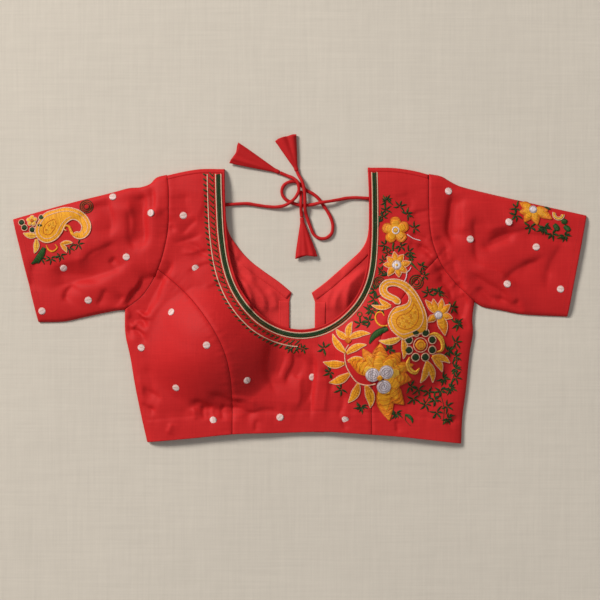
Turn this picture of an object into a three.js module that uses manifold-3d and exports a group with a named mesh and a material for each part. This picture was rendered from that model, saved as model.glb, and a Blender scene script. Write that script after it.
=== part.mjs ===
// A choli (saree blouse) laid out flat, front side up: +X across the sleeves, +Y from hem to shoulders, +Z up.
// Millimetres. Z = 0 is the surface it lies on, and the origin is under the middle of the blouse.
// Left and right are as seen from above. Each cut piece of cloth is its own thin wall.
import * as THREE from "three";
import { mergeVertices } from "three/addons/utils/BufferGeometryUtils.js";
import Module from "manifold-3d";

const wasm = await Module();
wasm.setup();

// ---- driving sizes -------------------------------------------------------------------------------------
const cloth = 1.5; // lined cotton silk, measured straight up
const gap = 0.3; // between pieces at a seam
const gridStep = 19; // the size of a facet of the draped cloth
const far = 400; // further than any piece reaches from the middle
const past = 120; // how far a cutting line runs on past the cloth
const spare = 5; // how far a cut reaches over an edge

const puff = { height: 8, reach: 32, centreDrop: 3, centreWidth: 45 }; // air between front and back
const cup = { x: 115.8, y: -55.6, halfWide: 90, halfTall: 84, height: 36 };
const cupSlope = { x: 125, y: 8, radius: 66, height: 7 }; // the cloth falling from the cup to the armhole
const shoulderRoll = 6; // how far the back comes over to the front at the shoulder
const rim = 1.8; // the width of a pressed fold
const piping = { width: 2.6, proud: 0.5 };
const braid = { from: 5, to: 14, thick: 0.8 };
const facing = { width: 11, thick: 0.7, top: 128 };
const placket = { width: 14, thick: 0.7 };

// lie is the height of a cord's middle on the surface, and rise how much higher it goes over another.
const cord = { diameter: 4.4, sides: 8, lie: 2.4, rise: 4.8 };
const tassel = { sides: 12, wall: 1.2, hollowFrom: 2 };

const red = new THREE.Color(0.58, 0.035, 0.035);
const green = new THREE.Color(0.05, 0.11, 0.03);

// ---- seam and edge lines, clockwise seen from above, so the cloth is on the right of each --------------
const line = (...rows) => ({ points: rows.map(([x, y]) => new THREE.Vector3(x, y, 0)) });

const edge = {
  neck: line([-101, 183.5], [-99.5, 134.5], [-97, 93], [-91, 55], [-80, 25], [-64.5, 2], [-46.5, -15.5],
    [-22.5, -28], [1.5, -32], [26, -28], [48.5, -16], [69.5, 4.5], [82, 26], [89, 51], [92, 84], [92.5, 134.5],
    [91.5, 185.5]),
  shoulderLeft: line([-178.5, 175], [-156.5, 180], [-133.5, 183.5], [-101, 183.5]),
  shoulderRight: line([91.5, 185.5], [127.5, 185], [154.5, 181], [173.5, 176]),
  armholeLeft: line([-235, -5], [-213, 12], [-198.5, 32.5], [-187, 57], [-177.5, 97], [-175.5, 133.5],
    [-176, 157.5], [-178.5, 175]),
  armholeRight: line([173.5, 176], [173, 140], [174.5, 106], [179, 82], [190.5, 54.5], [206, 34], [220, 19.5],
    [235, 6]),
  sideLeft: line([-205, -183.5], [-212.5, -151], [-221.5, -107], [-228, -68.5], [-234.5, -38], [-235, -5]),
  sideRight: line([235, 6], [232, -17.5], [233, -35.5], [228.5, -63.5], [223.5, -112], [218.5, -151],
    [217, -185.5]),
  hem: line([217, -185.5], [180, -181], [134.5, -176], [80, -172], [37.5, -169.5], [-26.5, -171], [-88, -172.5],
    [-139.5, -177.5], [-205, -183.5]),
  sleeveTopLeft: line([-385.5, 115], [-311.5, 136], [-251.5, 151], [-229, 157], [-214, 158], [-200.5, 163],
    [-192.5, 171], [-178.5, 175]),
  sleeveUnderLeft: line([-235, -5], [-247.5, -6], [-289, -14.5], [-317, -20.5], [-351.5, -21.5]),
  sleeveTopRight: line([173.5, 176], [190.5, 172.5], [202.5, 165.5], [213.5, 160], [254, 149.5], [315.5, 135.5],
    [385.5, 120]),
  sleeveUnderRight: line([360, -14], [296.5, -10.5], [271, -5.5], [245.5, -0.5], [235, 6]),
  backNeckLeft: line([-101, 183.5], [-100.5, 134.5], [-96, 100], [-84.5, 80.5], [-68, 61.5], [-47.5, 45.5],
    [-27, 31], [-11, 17.5]),
  backNeckRight: line([16, 17], [34.5, 31], [50, 44.5], [65, 58], [83.5, 76], [91, 92], [93.2, 134.5],
    [91.5, 185.5]),
};

// Princess seams run from the armhole over the cup to the hem. Each starts and ends just past the cloth.
const princess = {
  left: line([-197, 54], [-165, 28], [-144.5, 8.5], [-124, -16], [-108.5, -40.5], [-98.5, -63.5], [-93, -88],
    [-91, -113], [-90.5, -190]),
  right: line([197, 77], [165, 43.5], [145, 21], [125, -6], [110, -33], [101.5, -59.5], [97, -86.5], [96, -113],
    [97, -190]),
};
const centreBack = { left: [[-11, 17.5], [-14, 6.5], [-14.5, -171]], right: [[19, -170.5], [20.5, 5], [16, 17]] };

// Soft folds of the two back pieces: where, which way they run, how long, wide and high.
const backFolds = [
  { x: -62, y: 16, turn: -38, long: 26, wide: 14, high: 4.5 },
  { x: 68, y: 20, turn: 42, long: 28, wide: 14, high: 4 },
];
// The largest folds of the front and the sleeves.
const frontFolds = [
  { x: -198, y: 112, turn: 84, long: 46, wide: 15, high: 3 },
  { x: 203, y: 112, turn: -84, long: 46, wide: 16, high: -2.5 },
  { x: -214, y: -26, turn: 62, long: 34, wide: 14, high: 3 },
  { x: 16, y: -112, turn: 86, long: 46, wide: 13, high: 3 },
  { x: 290, y: 14, turn: -50, long: 34, wide: 15, high: 2.5 },
  { x: -266, y: 34, turn: 30, long: 50, wide: 16, high: 2.5 },
];

// ---- cords: where they run, and how high over what they cross (0 on the surface, 1 over another cord) --
const route = {
  dori_left: [[-100.6, 135.5, 0], [-85.5, 136.5, 0], [-70.5, 137, 0], [-57.5, 135, 0], [-45, 133.2, 0],
    [-32, 132.4, 0.2], [-20, 134.5, 0.7], [-10.8, 140, 1], [-4.4, 147, 1], [-1.2, 154, 0.95], [-1.4, 160, 1],
    [-3, 165.6, 1], [-8.4, 170.8, 0.75], [-17, 174.6, 0.1], [-26.5, 178.6, 0]],
  dori_right: [[92.8, 144, 0], [78, 145, 0], [64.5, 144.5, 0], [51.5, 142, 0.4], [40.5, 140, 0.9], [29, 138.3, 1],
    [18, 135.8, 0.45], [6.8, 134.8, 0], [-2.5, 135.5, 0], [-10.5, 138.5, 0], [-18, 142, 0], [-23, 148, 0],
    [-24, 155.5, 0], [-21, 162, 0], [-14.5, 166, 0], [-7.5, 167, 0], [-2, 164.8, 0], [3, 160.5, 0],
    [9.5, 154.5, 0], [18, 150, 0], [24.5, 144.5, 0], [30, 137, 0], [36, 128.5, 0], [41.5, 118.5, 0],
    [44.5, 107, 0], [42.5, 96.5, 0], [35, 90.5, 0], [26, 90.5, 0], [19, 95.5, 0], [14.8, 104.5, 0],
    [11.4, 114, 0], [8.7, 122, 0.1], [7.2, 129.5, 0.7], [7, 136, 1], [6.9, 143, 0.95], [6.6, 149, 0.95],
    [6, 155.5, 1], [4.6, 162, 1], [2.2, 168.5, 0.8], [-1, 174.2, 0.3], [-3.6, 180, 0]],
  dori_drop: [[1.3, 154.2, 0], [1.6, 148, 0.3], [1.6, 141.5, 0.9], [1.6, 135, 1], [1.8, 128.5, 0.4],
    [2.2, 123.5, 0], [2.7, 119, 0]],
};
const cordSteps = { dori_left: 20, dori_right: 52, dori_drop: 6 };
// Each tassel is a flattened cone of folded cloth, from the end of its cord to the middle of its mouth.
const tassels = {
  tassel_upper_left: { onCord: "dori_left", mouth: [-87.5, 205] },
  tassel_upper: { onCord: "dori_right", mouth: [-19, 226] },
  tassel_lower: { onCord: "dori_drop", mouth: [8.5, 65.5] },
};
const tasselShape = [
  { at: 0, wide: 5.2, high: 5 },
  { at: 0.12, wide: 6.6, high: 5.4 },
  { at: 0.35, wide: 12.5, high: 6.6 },
  { at: 0.68, wide: 21.5, high: 8 },
  { at: 1, wide: 30, high: 9 },
];

// ---- lines and outlines --------------------------------------------------------------------------------
function smooth(seam, spacing = 14) {
  const curve = new THREE.CatmullRomCurve3(seam.points, false, "centripetal");
  return curve.getSpacedPoints(Math.ceil(curve.getLength() / spacing)).map((p) => [p.x, p.y]);
}

const drawn = Object.fromEntries(Object.entries(edge).map(([name, seam]) => [name, smooth(seam)]));
const back = (points) => [...points].reverse();

function join(...parts) {
  const all = parts.flat();
  return all.filter(([x, y], i) => {
    const [px, py] = all[(i + all.length - 1) % all.length];
    return Math.hypot(x - px, y - py) > 0.05;
  });
}

// The same points moved to the right of their line, which is into the cloth.
function moved(points, distance, closed = false) {
  const n = points.length;
  const at = (i) => (closed ? points[(i + n) % n] : points[Math.min(Math.max(i, 0), n - 1)]);
  const normal = ([ax, ay], [bx, by]) => new THREE.Vector2(by - ay, ax - bx).normalize();
  return points.map(([x, y], i) => {
    const before = normal(at(i - 1), at(i));
    const after = normal(at(i), at(i + 1));
    const middle = before.clone().add(after).normalize();
    const reach = distance / Math.max(0.5, middle.dot(after.length() ? after : before));
    return [x + middle.x * reach, y + middle.y * reach];
  });
}

const strip = (points, from, to) => [...moved(points, from), ...back(moved(points, to))];

// The same line carried on straight past both of its ends.
function carriedOn(points) {
  const beyond = ([ax, ay], [bx, by]) => {
    const share = past / Math.hypot(ax - bx, ay - by);
    return [ax + (ax - bx) * share, ay + (ay - by) * share];
  };
  return [beyond(points[0], points[1]), ...points, beyond(points.at(-1), points.at(-2))];
}

// ---- solids --------------------------------------------------------------------------------------------
function solidOf(geometry) {
  geometry.deleteAttribute("normal");
  geometry.deleteAttribute("uv");
  const merged = mergeVertices(geometry, 1e-4);
  return new wasm.Manifold(new wasm.Mesh({
    numProp: 3,
    vertProperties: new Float32Array(merged.attributes.position.array),
    triVerts: new Uint32Array(merged.index.array),
  }));
}

function prism(outline) {
  const shape = new THREE.Shape(outline.map(([x, y]) => new THREE.Vector2(x, y)));
  const geometry = new THREE.ExtrudeGeometry(shape, { depth: far, bevelEnabled: false });
  return solidOf(geometry.translate(0, 0, -far / 2));
}

// Everything between two height functions inside an outline, on one grid that all pieces share.
function between(low, high, outline) {
  const box = new THREE.Box2().setFromPoints(outline.map(([x, y]) => new THREE.Vector2(x, y)));
  const first = box.min.divideScalar(gridStep).floor().subScalar(1);
  const count = box.max.divideScalar(gridStep).ceil().addScalar(1).sub(first);
  const across = count.x + 1;
  const layer = across * (count.y + 1);
  const positions = [];
  for (const height of [low, high]) {
    for (let j = 0; j <= count.y; j++) {
      for (let i = 0; i <= count.x; i++) {
        const [x, y] = [(first.x + i) * gridStep, (first.y + j) * gridStep];
        positions.push(x, y, height(x, y));
      }
    }
  }
  const triangles = [];
  for (let j = 0; j < count.y; j++) {
    for (let i = 0; i < count.x; i++) {
      const a = j * across + i;
      const [b, c, d] = [a + 1, a + across, a + across + 1];
      triangles.push(a, c, b, b, c, d); // underside
      triangles.push(a + layer, b + layer, c + layer, b + layer, d + layer, c + layer);
    }
  }
  const wall = (a, b) => triangles.push(a, b, a + layer, b, b + layer, a + layer);
  for (let i = 0; i < count.x; i++) {
    wall(i, i + 1);
    wall(count.y * across + i + 1, count.y * across + i);
  }
  for (let j = 0; j < count.y; j++) {
    wall((j + 1) * across, j * across);
    wall(j * across + count.x, (j + 1) * across + count.x);
  }
  const geometry = new THREE.BufferGeometry();
  geometry.setAttribute("position", new THREE.Float32BufferAttribute(positions, 3));
  geometry.setIndex(triangles);
  return solidOf(geometry).intersect(prism(outline));
}

// ---- how high the cloth lies ---------------------------------------------------------------------------
const foldNames = ["sideLeft", "sideRight", "shoulderLeft", "shoulderRight", "sleeveTopLeft", "sleeveUnderLeft",
  "sleeveTopRight", "sleeveUnderRight"];
const foldSegments = foldNames.flatMap((name) => drawn[name].slice(1).map((end, i) => [drawn[name][i], end]));

// How far a point is inside the nearest fold of the garment; 0 outside it.
function insideFold(x, y) {
  let nearest = Infinity;
  let inside = false;
  for (const [[ax, ay], [bx, by]] of foldSegments) {
    const [dx, dy] = [bx - ax, by - ay];
    const t = THREE.MathUtils.clamp(((x - ax) * dx + (y - ay) * dy) / (dx * dx + dy * dy), 0, 1);
    const distance = Math.hypot(x - ax - t * dx, y - ay - t * dy);
    const onRight = (x - ax) * dy - (y - ay) * dx > 0;
    const same = Math.abs(distance - nearest) < 1e-6; // at a corner shared by two folds
    if (same || distance < nearest) {
      inside = onRight || (same && inside);
      nearest = distance;
    }
  }
  return inside ? nearest : 0;
}

function ridges(rows, x, y) {
  let sum = 0;
  for (const fold of rows) {
    const turn = THREE.MathUtils.degToRad(fold.turn);
    const u = ((x - fold.x) * Math.cos(turn) + (y - fold.y) * Math.sin(turn)) / fold.long;
    const v = ((y - fold.y) * Math.cos(turn) - (x - fold.x) * Math.sin(turn)) / fold.wide;
    sum += fold.high * Math.exp(-u * u - v * v);
  }
  return sum;
}

const dome = (u, v) => Math.max(0, 1 - u * u - v * v) ** 1.5;

function lift(x, y) {
  const edgeShare = Math.min(1, insideFold(x, y) / puff.reach);
  const round = Math.sqrt(1 - (1 - edgeShare) ** 2);
  const centre = y < 0 ? puff.centreDrop * Math.exp(-((x / puff.centreWidth) ** 2)) : 0;
  const side = Math.abs(x);
  const bust = cup.height * dome((side - cup.x) / cup.halfWide, (y - cup.y) / cup.halfTall);
  const slope = cupSlope.height
    * dome((side - cupSlope.x) / cupSlope.radius, (y - cupSlope.y) / cupSlope.radius);
  return Math.max(0, (puff.height - centre + ridges(frontFolds, x, y)) * round + bust + slope);
}

const backLow = (x, y) => Math.max(0, ridges(backFolds, x, y) - 0.3);
const backHigh = (x, y) => backLow(x, y) + cloth;
const frontLow = (x, y) => backHigh(x, y) + gap + lift(x, y);
const frontHigh = (x, y) => frontLow(x, y) + cloth;
const ground = () => 0;
const above = (height, distance) => (x, y) => height(x, y) + distance;

// ---- the pieces ----------------------------------------------------------------------------------------
const blouse = new THREE.Group();

function add(name, solid, colour) {
  const mesh = solid.getMesh();
  const geometry = new THREE.BufferGeometry();
  geometry.setAttribute("position", new THREE.BufferAttribute(mesh.vertProperties, 3));
  geometry.setIndex(new THREE.BufferAttribute(mesh.triVerts, 1));
  geometry.computeVertexNormals();
  const material = new THREE.MeshStandardMaterial({ color: colour, roughness: 0.7, metalness: 0 });
  const made = new THREE.Mesh(geometry, material);
  made.name = name;
  blouse.add(made);
}

// What is left below the rolls in which the back comes over the shoulders.
function withoutRolls(solid) {
  for (const shoulder of [drawn.shoulderLeft, drawn.shoulderRight]) {
    solid = solid.subtract(prism(strip(carriedOn(shoulder), -spare, shoulderRoll + gap)));
  }
  return solid;
}

// The front: three pieces parted by the princess seams, with the back's roll left off at the shoulders.
function addFront() {
  const outline = moved(join(drawn.hem, drawn.sideLeft, drawn.armholeLeft, drawn.shoulderLeft, drawn.neck,
    drawn.shoulderRight, drawn.armholeRight, drawn.sideRight), gap / 2, true);
  let front = between(frontLow, frontHigh, outline).subtract(prism(strip(drawn.neck, -spare, piping.width + gap)));
  front = withoutRolls(front);
  const left = smooth(princess.left);
  const right = smooth(princess.right);
  const sideOf = (seam, out, distance) => prism([...moved(seam, distance), [out, -far], [out, far]]);
  add("front_side_left", front.intersect(sideOf(left, -far, gap / 2)), red);
  add("front_side_right", front.intersect(sideOf(right, far, -gap / 2)), red);
  add("front_centre", front.subtract(sideOf(left, -far, -gap / 2)).subtract(sideOf(right, far, gap / 2)), red);
}

// One back piece lies on the surface and comes over the shoulder in a roll.
function addBack(name, outline, shoulder) {
  const block = between(backLow, frontHigh, moved(outline, gap / 2, true));
  const lip = moved(carriedOn(shoulder), shoulderRoll);
  const body = [...lip, [lip.at(-1)[0], -far], [lip[0][0], -far]];
  const inRoll = strip(carriedOn(shoulder), rim, shoulderRoll + gap);
  add(name, block.subtract(between(backHigh, above(frontHigh, spare), body))
    .subtract(between(backHigh, frontLow, inRoll)), red);
}

// A sleeve is a flat tube, open at the cuff and the armhole, with a pressed fold above and below.
function addSleeve(name, lines, top, under) {
  const tube = between(ground, frontHigh, moved(join(...lines), gap / 2, true));
  const inside = [...carriedOn(moved(top, rim)), ...carriedOn(moved(under, rim))];
  add(name, tube.subtract(between(() => cloth, frontLow, inside)), red);
}

function addNeckTrims() {
  const pipe = strip(drawn.neck, 0, piping.width);
  add("neck_piping", withoutRolls(between(above(frontLow, -piping.proud), above(frontHigh, piping.proud), pipe)), red);
  const band = strip(drawn.neck, braid.from, braid.to);
  add("neck_braid", withoutRolls(between(above(frontHigh, gap), above(frontHigh, gap + braid.thick), band)), green);
}

// Inside each back piece: a facing along the neck and a placket down the centre edge.
function addBackTrims(side, neck, centre) {
  const [low, high] = [above(backHigh, gap), (thick) => above(backHigh, gap + thick)];
  const open = neck.filter(([, y]) => y < facing.top);
  const placketCut = side === "left" ? [centre[1], centre[2]] : [centre[0], centre[1]];
  const placketOutline = strip(placketCut, gap, placket.width);
  const facingOutline = strip(open, gap, facing.width);
  const placketSolid = between(low, high(placket.thick), placketOutline);
  const facingSolid = between(low, high(facing.thick), facingOutline)
    .subtract(prism(strip(placketCut, -past / 2, placket.width + gap)));
  add("placket_" + side, placketSolid, red);
  add("back_facing_" + side, facingSolid, red);
}

function addCord(name) {
  const points = route[name].map(([x, y, level]) =>
    new THREE.Vector3(x, y, cord.lie + level * cord.rise));
  const section = new THREE.Shape(new THREE.Path().absarc(0, 0, cord.diameter / 2, 0, 2 * Math.PI)
    .getSpacedPoints(cord.sides).slice(0, -1));
  const path = new THREE.CatmullRomCurve3(points, false, "centripetal");
  path.arcLengthDivisions = 1000;
  const options = { extrudePath: path, steps: cordSteps[name], bevelEnabled: false };
  add(name, solidOf(new THREE.ExtrudeGeometry(section, options)), red);
}

// A hollow flattened cone, closed at the cord and open at its mouth.
function addTassel(name, { onCord, mouth }) {
  const [x, y] = route[onCord].at(-1);
  const axis = new THREE.Vector3(mouth[0] - x, mouth[1] - y, 0);
  const length = axis.length() - 2 * gap;
  axis.normalize();
  const start = new THREE.Vector3(x, y, 0).addScaledVector(axis, 2 * gap);
  const across = new THREE.Vector3(-axis.y, axis.x, 0);
  const ring = ({ at, wide, high }, wall) => Array.from({ length: tassel.sides }, (_, k) => {
    const turn = (2 * Math.PI * k) / tassel.sides;
    const out = (wide / 2 - wall) * Math.cos(turn);
    const up = high / 2 + (high / 2 - wall) * Math.sin(turn);
    return start.clone().addScaledVector(axis, at * length).addScaledVector(across, out).setZ(up);
  });
  const rings = [
    ...tasselShape.map((row) => ring(row, 0)),
    ...back(tasselShape.slice(tassel.hollowFrom)).map((row) => ring(row, tassel.wall)),
  ];
  const sides = tassel.sides;
  const triangles = [];
  for (let r = 0; r < rings.length - 1; r++) {
    for (let k = 0; k < sides; k++) {
      const [a, b] = [r * sides + k, r * sides + ((k + 1) % sides)];
      triangles.push(a, b, a + sides, b, b + sides, a + sides);
    }
  }
  const last = (rings.length - 1) * sides;
  for (let k = 1; k < sides - 1; k++) {
    triangles.push(0, k + 1, k);
    triangles.push(last, last + k, last + k + 1);
  }
  const geometry = new THREE.BufferGeometry();
  geometry.setFromPoints(rings.flat());
  geometry.setIndex(triangles);
  add(name, solidOf(geometry), red);
}

addFront();
const hemLeft = drawn.hem.filter(([x]) => x < centreBack.left.at(-1)[0] - spare);
const hemRight = drawn.hem.filter(([x]) => x > centreBack.right[0][0] + spare);
addBack("back_left", join(centreBack.left, hemLeft, drawn.sideLeft, drawn.armholeLeft, drawn.shoulderLeft,
  drawn.backNeckLeft), drawn.shoulderLeft);
addBack("back_right", join(drawn.backNeckRight, drawn.shoulderRight, drawn.armholeRight, drawn.sideRight,
  hemRight, centreBack.right), drawn.shoulderRight);
addSleeve("sleeve_left", [drawn.sleeveTopLeft, back(drawn.armholeLeft), drawn.sleeveUnderLeft],
  drawn.sleeveTopLeft, drawn.sleeveUnderLeft);
addSleeve("sleeve_right", [drawn.sleeveTopRight, drawn.sleeveUnderRight, back(drawn.armholeRight)],
  drawn.sleeveTopRight, drawn.sleeveUnderRight);
addNeckTrims();
addBackTrims("left", drawn.backNeckLeft, centreBack.left);
addBackTrims("right", drawn.backNeckRight, centreBack.right);
Object.keys(route).forEach(addCord);
Object.entries(tassels).forEach(([name, row]) => addTassel(name, row));

export default blouse;
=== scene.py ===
import math

import bpy
import numpy as np
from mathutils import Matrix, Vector, geometry


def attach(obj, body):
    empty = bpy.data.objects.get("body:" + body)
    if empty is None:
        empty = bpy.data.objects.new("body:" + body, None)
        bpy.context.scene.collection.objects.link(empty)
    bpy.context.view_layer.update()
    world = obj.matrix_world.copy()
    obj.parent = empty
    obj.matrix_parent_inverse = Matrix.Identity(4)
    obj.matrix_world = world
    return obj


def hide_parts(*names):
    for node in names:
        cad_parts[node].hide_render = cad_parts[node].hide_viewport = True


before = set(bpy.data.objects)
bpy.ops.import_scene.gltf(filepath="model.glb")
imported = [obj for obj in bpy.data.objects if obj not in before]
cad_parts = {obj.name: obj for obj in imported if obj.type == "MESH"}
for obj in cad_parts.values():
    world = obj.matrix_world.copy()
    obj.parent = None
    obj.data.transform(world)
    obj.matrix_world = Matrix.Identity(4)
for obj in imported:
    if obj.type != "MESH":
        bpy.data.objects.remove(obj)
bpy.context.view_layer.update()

scene = bpy.context.scene
scene.view_settings.view_transform = "Standard"

# Sizes are millimetres until a mesh is made. +X runs across the sleeves, +Y from hem to shoulders, +Z up.
mm = 0.001

studio = {
    "centre": (0.0003, 0.0074), "height": 1.9, "viewWide": 0.804,
    "key": {"at": (-4.0, 3.4, 4.0), "size": 1.9, "watts": 480, "colour": (1.0, 0.97, 0.93)},
    "fill": {"at": (1.6, -1.0, 2.8), "size": 2.4, "watts": 10, "colour": (0.95, 0.97, 1.0)},
    "sky": 0.235,
    "floor": (0.635, 0.575, 0.492), "floorThread": 0.9,
}


def addCamera():
    lens = bpy.data.cameras.new("overhead")
    lens.sensor_width = 36
    lens.lens = 36 * studio["height"] / studio["viewWide"]
    lens.clip_end = 20
    holder = bpy.data.objects.new("overhead", lens)
    holder.location = (*studio["centre"], studio["height"] + 0.01)
    scene.collection.objects.link(holder)
    scene.camera = holder


def addLight(name, at, size, watts, colour):
    lamp = bpy.data.lights.new(name, "AREA")
    lamp.size, lamp.energy, lamp.color = size, watts, colour
    holder = bpy.data.objects.new(name, lamp)
    holder.location = at
    holder.rotation_euler = Vector(at).to_track_quat("Z", "Y").to_euler()
    scene.collection.objects.link(holder)


addCamera()
addLight("key", **studio["key"])
addLight("fill", **studio["fill"])
world = bpy.data.worlds.new("studio")
world.use_nodes = True
world.node_tree.nodes["Background"].inputs["Color"].default_value = (0.97, 0.98, 1.0, 1)
world.node_tree.nodes["Background"].inputs["Strength"].default_value = studio["sky"]
scene.world = world


def put(tree, kind, sockets=None, **fields):
    node = tree.nodes.new(kind)
    for field, value in fields.items():
        setattr(node, field, value)
    for socket, value in (sockets or {}).items():
        if isinstance(value, bpy.types.NodeSocket):
            tree.links.new(value, node.inputs[socket])
        else:
            node.inputs[socket].default_value = value
    return node


def newTree(name, kind, inputs, outputs):
    tree = bpy.data.node_groups.new(name, kind)
    for label, socketType, value in inputs:
        socket = tree.interface.new_socket(label, in_out="INPUT", socket_type=socketType)
        if value is not None:
            socket.default_value = value
    for label, socketType in outputs:
        tree.interface.new_socket(label, in_out="OUTPUT", socket_type=socketType)
    return tree, tree.nodes.new("NodeGroupInput").outputs, tree.nodes.new("NodeGroupOutput").inputs


def maths(tree, operation, a, b=0.0):
    return put(tree, "ShaderNodeMath", {0: a, 1: b}, operation=operation).outputs[0]


def mixed(tree, factor, a, b, blend="MIX"):
    node = put(tree, "ShaderNodeMix", {"Factor": factor}, data_type="RGBA", blend_type=blend)
    for socket, value in ((node.inputs[6], a), (node.inputs[7], b)):
        if isinstance(value, bpy.types.NodeSocket):
            tree.links.new(value, socket)
        else:
            socket.default_value = (*value, 1) if len(value) == 3 else value
    return node.outputs[2]


# Plain weave: two sets of threads, each thread of its own tone, with slubs that run along them.
def makeWeaveGroup():
    tree, given, out = newTree("plainWeave", "ShaderNodeTree", [
        ("Vector", "NodeSocketVector", None), ("Thread", "NodeSocketFloat", 0.45), ("Seed", "NodeSocketFloat", 0.0)],
        [("Height", "NodeSocketFloat"), ("Tone", "NodeSocketFloat"), ("Rumple", "NodeSocketFloat")])
    perThread = maths(tree, "DIVIDE", 1000.0, given["Thread"])
    scaled = put(tree, "ShaderNodeVectorMath", {0: given["Vector"], "Scale": perThread}, operation="SCALE").outputs[0]
    split = put(tree, "ShaderNodeSeparateXYZ", {0: scaled}).outputs
    waveX = maths(tree, "SINE", maths(tree, "MULTIPLY", split[0], math.pi))
    waveY = maths(tree, "SINE", maths(tree, "MULTIPLY", split[1], math.pi))
    weave = maths(tree, "MULTIPLY", waveX, waveY)
    slubs = []
    for stretch in ((1.0, 0.03, 0.03), (0.03, 1.0, 0.03)):
        lined = put(tree, "ShaderNodeVectorMath", {0: scaled, 1: stretch}, operation="MULTIPLY").outputs[0]
        slubs.append(put(tree, "ShaderNodeTexNoise", {"Vector": lined, "Scale": 0.42, "Detail": 4.0, "W": given["Seed"]},
                         noise_dimensions="4D").outputs[0])
    tone = maths(tree, "MULTIPLY", maths(tree, "ADD", slubs[0], slubs[1]), 0.5)
    rumple = put(tree, "ShaderNodeTexNoise", {"Vector": given["Vector"], "Scale": 42.0, "Detail": 3.0, "Roughness": 0.55,
                 "W": given["Seed"]}, noise_dimensions="4D").outputs[0]
    height = maths(tree, "ADD", maths(tree, "MULTIPLY", weave, 0.5), maths(tree, "MULTIPLY", tone, 1.4))
    for socket, value in zip(("Height", "Tone", "Rumple"), (height, tone, rumple)):
        tree.links.new(value, out[socket])
    return tree


# Satin stitch: threads side by side across the run of the shape; U and V of the UV map are in millimetres / 10.
def makeSatinGroup():
    tree, given, out = newTree("satinStitch", "ShaderNodeTree", [
        ("Vector", "NodeSocketVector", None), ("Thread", "NodeSocketFloat", 0.5)],
        [("Height", "NodeSocketFloat"), ("Tone", "NodeSocketFloat")])
    perThread = maths(tree, "DIVIDE", 10.0, given["Thread"])
    scaled = put(tree, "ShaderNodeVectorMath", {0: given["Vector"], "Scale": perThread}, operation="SCALE").outputs[0]
    split = put(tree, "ShaderNodeSeparateXYZ", {0: scaled}).outputs
    wander = put(tree, "ShaderNodeTexNoise", {"Vector": scaled, "Scale": 0.12, "Detail": 1.0}).outputs[0]
    along = maths(tree, "ADD", split[0], maths(tree, "MULTIPLY", wander, 3.0))
    ridge = maths(tree, "ABSOLUTE", maths(tree, "SINE", maths(tree, "MULTIPLY", along, math.pi)))
    each = put(tree, "ShaderNodeTexWhiteNoise", {"W": maths(tree, "FLOOR", along)}, noise_dimensions="1D").outputs[0]
    lined = put(tree, "ShaderNodeVectorMath", {0: scaled, 1: (1.0, 0.12, 1.0)}, operation="MULTIPLY").outputs[0]
    strands = put(tree, "ShaderNodeTexNoise", {"Vector": lined, "Scale": 0.45, "Detail": 3.0, "Roughness": 0.6}).outputs[0]
    tone = maths(tree, "ADD", maths(tree, "MULTIPLY", each, 0.4), maths(tree, "MULTIPLY", strands, 0.6))
    height = maths(tree, "ADD", ridge, maths(tree, "MULTIPLY", tone, 0.9))
    tree.links.new(height, out["Height"])
    tree.links.new(tone, out["Tone"])
    return tree


weaveGroup = makeWeaveGroup()
satinGroup = makeSatinGroup()


def newMaterial(name, roughness, specular=0.5, sheen=0.0, sheenTint=(1, 1, 1), sheenRoughness=0.5):
    made = bpy.data.materials.new(name)
    made.use_nodes = True
    shader = made.node_tree.nodes["Principled BSDF"].inputs
    shader["Roughness"].default_value = roughness
    shader["Specular IOR Level"].default_value = specular
    shader["Sheen Weight"].default_value = sheen
    shader["Sheen Tint"].default_value = (*sheenTint, 1)
    shader["Sheen Roughness"].default_value = sheenRoughness
    return made, made.node_tree, shader


# Woven cloth, darkened and lightened by its threads and by worn and rumpled places.
def clothMaterial(name, deep, bright, thread, bump, roughness=0.6, sheen=0.0, seed=0.0, wide=1.0, sheenTint=(1, .6, .6),
                  specular=0.14):
    made, tree, shader = newMaterial(name, roughness, specular, sheen, sheenTint, 0.45)
    place = put(tree, "ShaderNodeTexCoord").outputs["Object"]
    weave = put(tree, "ShaderNodeGroup", node_tree=weaveGroup)
    tree.links.new(place, weave.inputs["Vector"])
    weave.inputs["Thread"].default_value = thread
    weave.inputs["Seed"].default_value = seed
    share = put(tree, "ShaderNodeMapRange", {0: weave.outputs["Tone"], 1: 0.32, 2: 0.68}).outputs[0]
    broad = put(tree, "ShaderNodeTexNoise", {"Vector": place, "Scale": 9.0 / wide, "Detail": 3.0}).outputs[0]
    share = maths(tree, "ADD", maths(tree, "MULTIPLY", share, 0.55), maths(tree, "MULTIPLY", broad, 0.45))
    tree.links.new(mixed(tree, share, deep, bright), shader["Base Color"])
    rough = put(tree, "ShaderNodeMapRange", {0: weave.outputs["Tone"], 1: 0.3, 2: 0.7, 3: roughness - 0.07,
                4: roughness + 0.07}).outputs[0]
    tree.links.new(rough, shader["Roughness"])
    fine = put(tree, "ShaderNodeBump", {"Height": weave.outputs["Height"], "Strength": 0.5, "Distance": bump * mm})
    soft = put(tree, "ShaderNodeBump", {"Height": weave.outputs["Rumple"], "Strength": 0.6, "Distance": bump * 9 * mm,
               "Normal": fine.outputs[0]})
    tree.links.new(soft.outputs[0], shader["Normal"])
    return made


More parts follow.
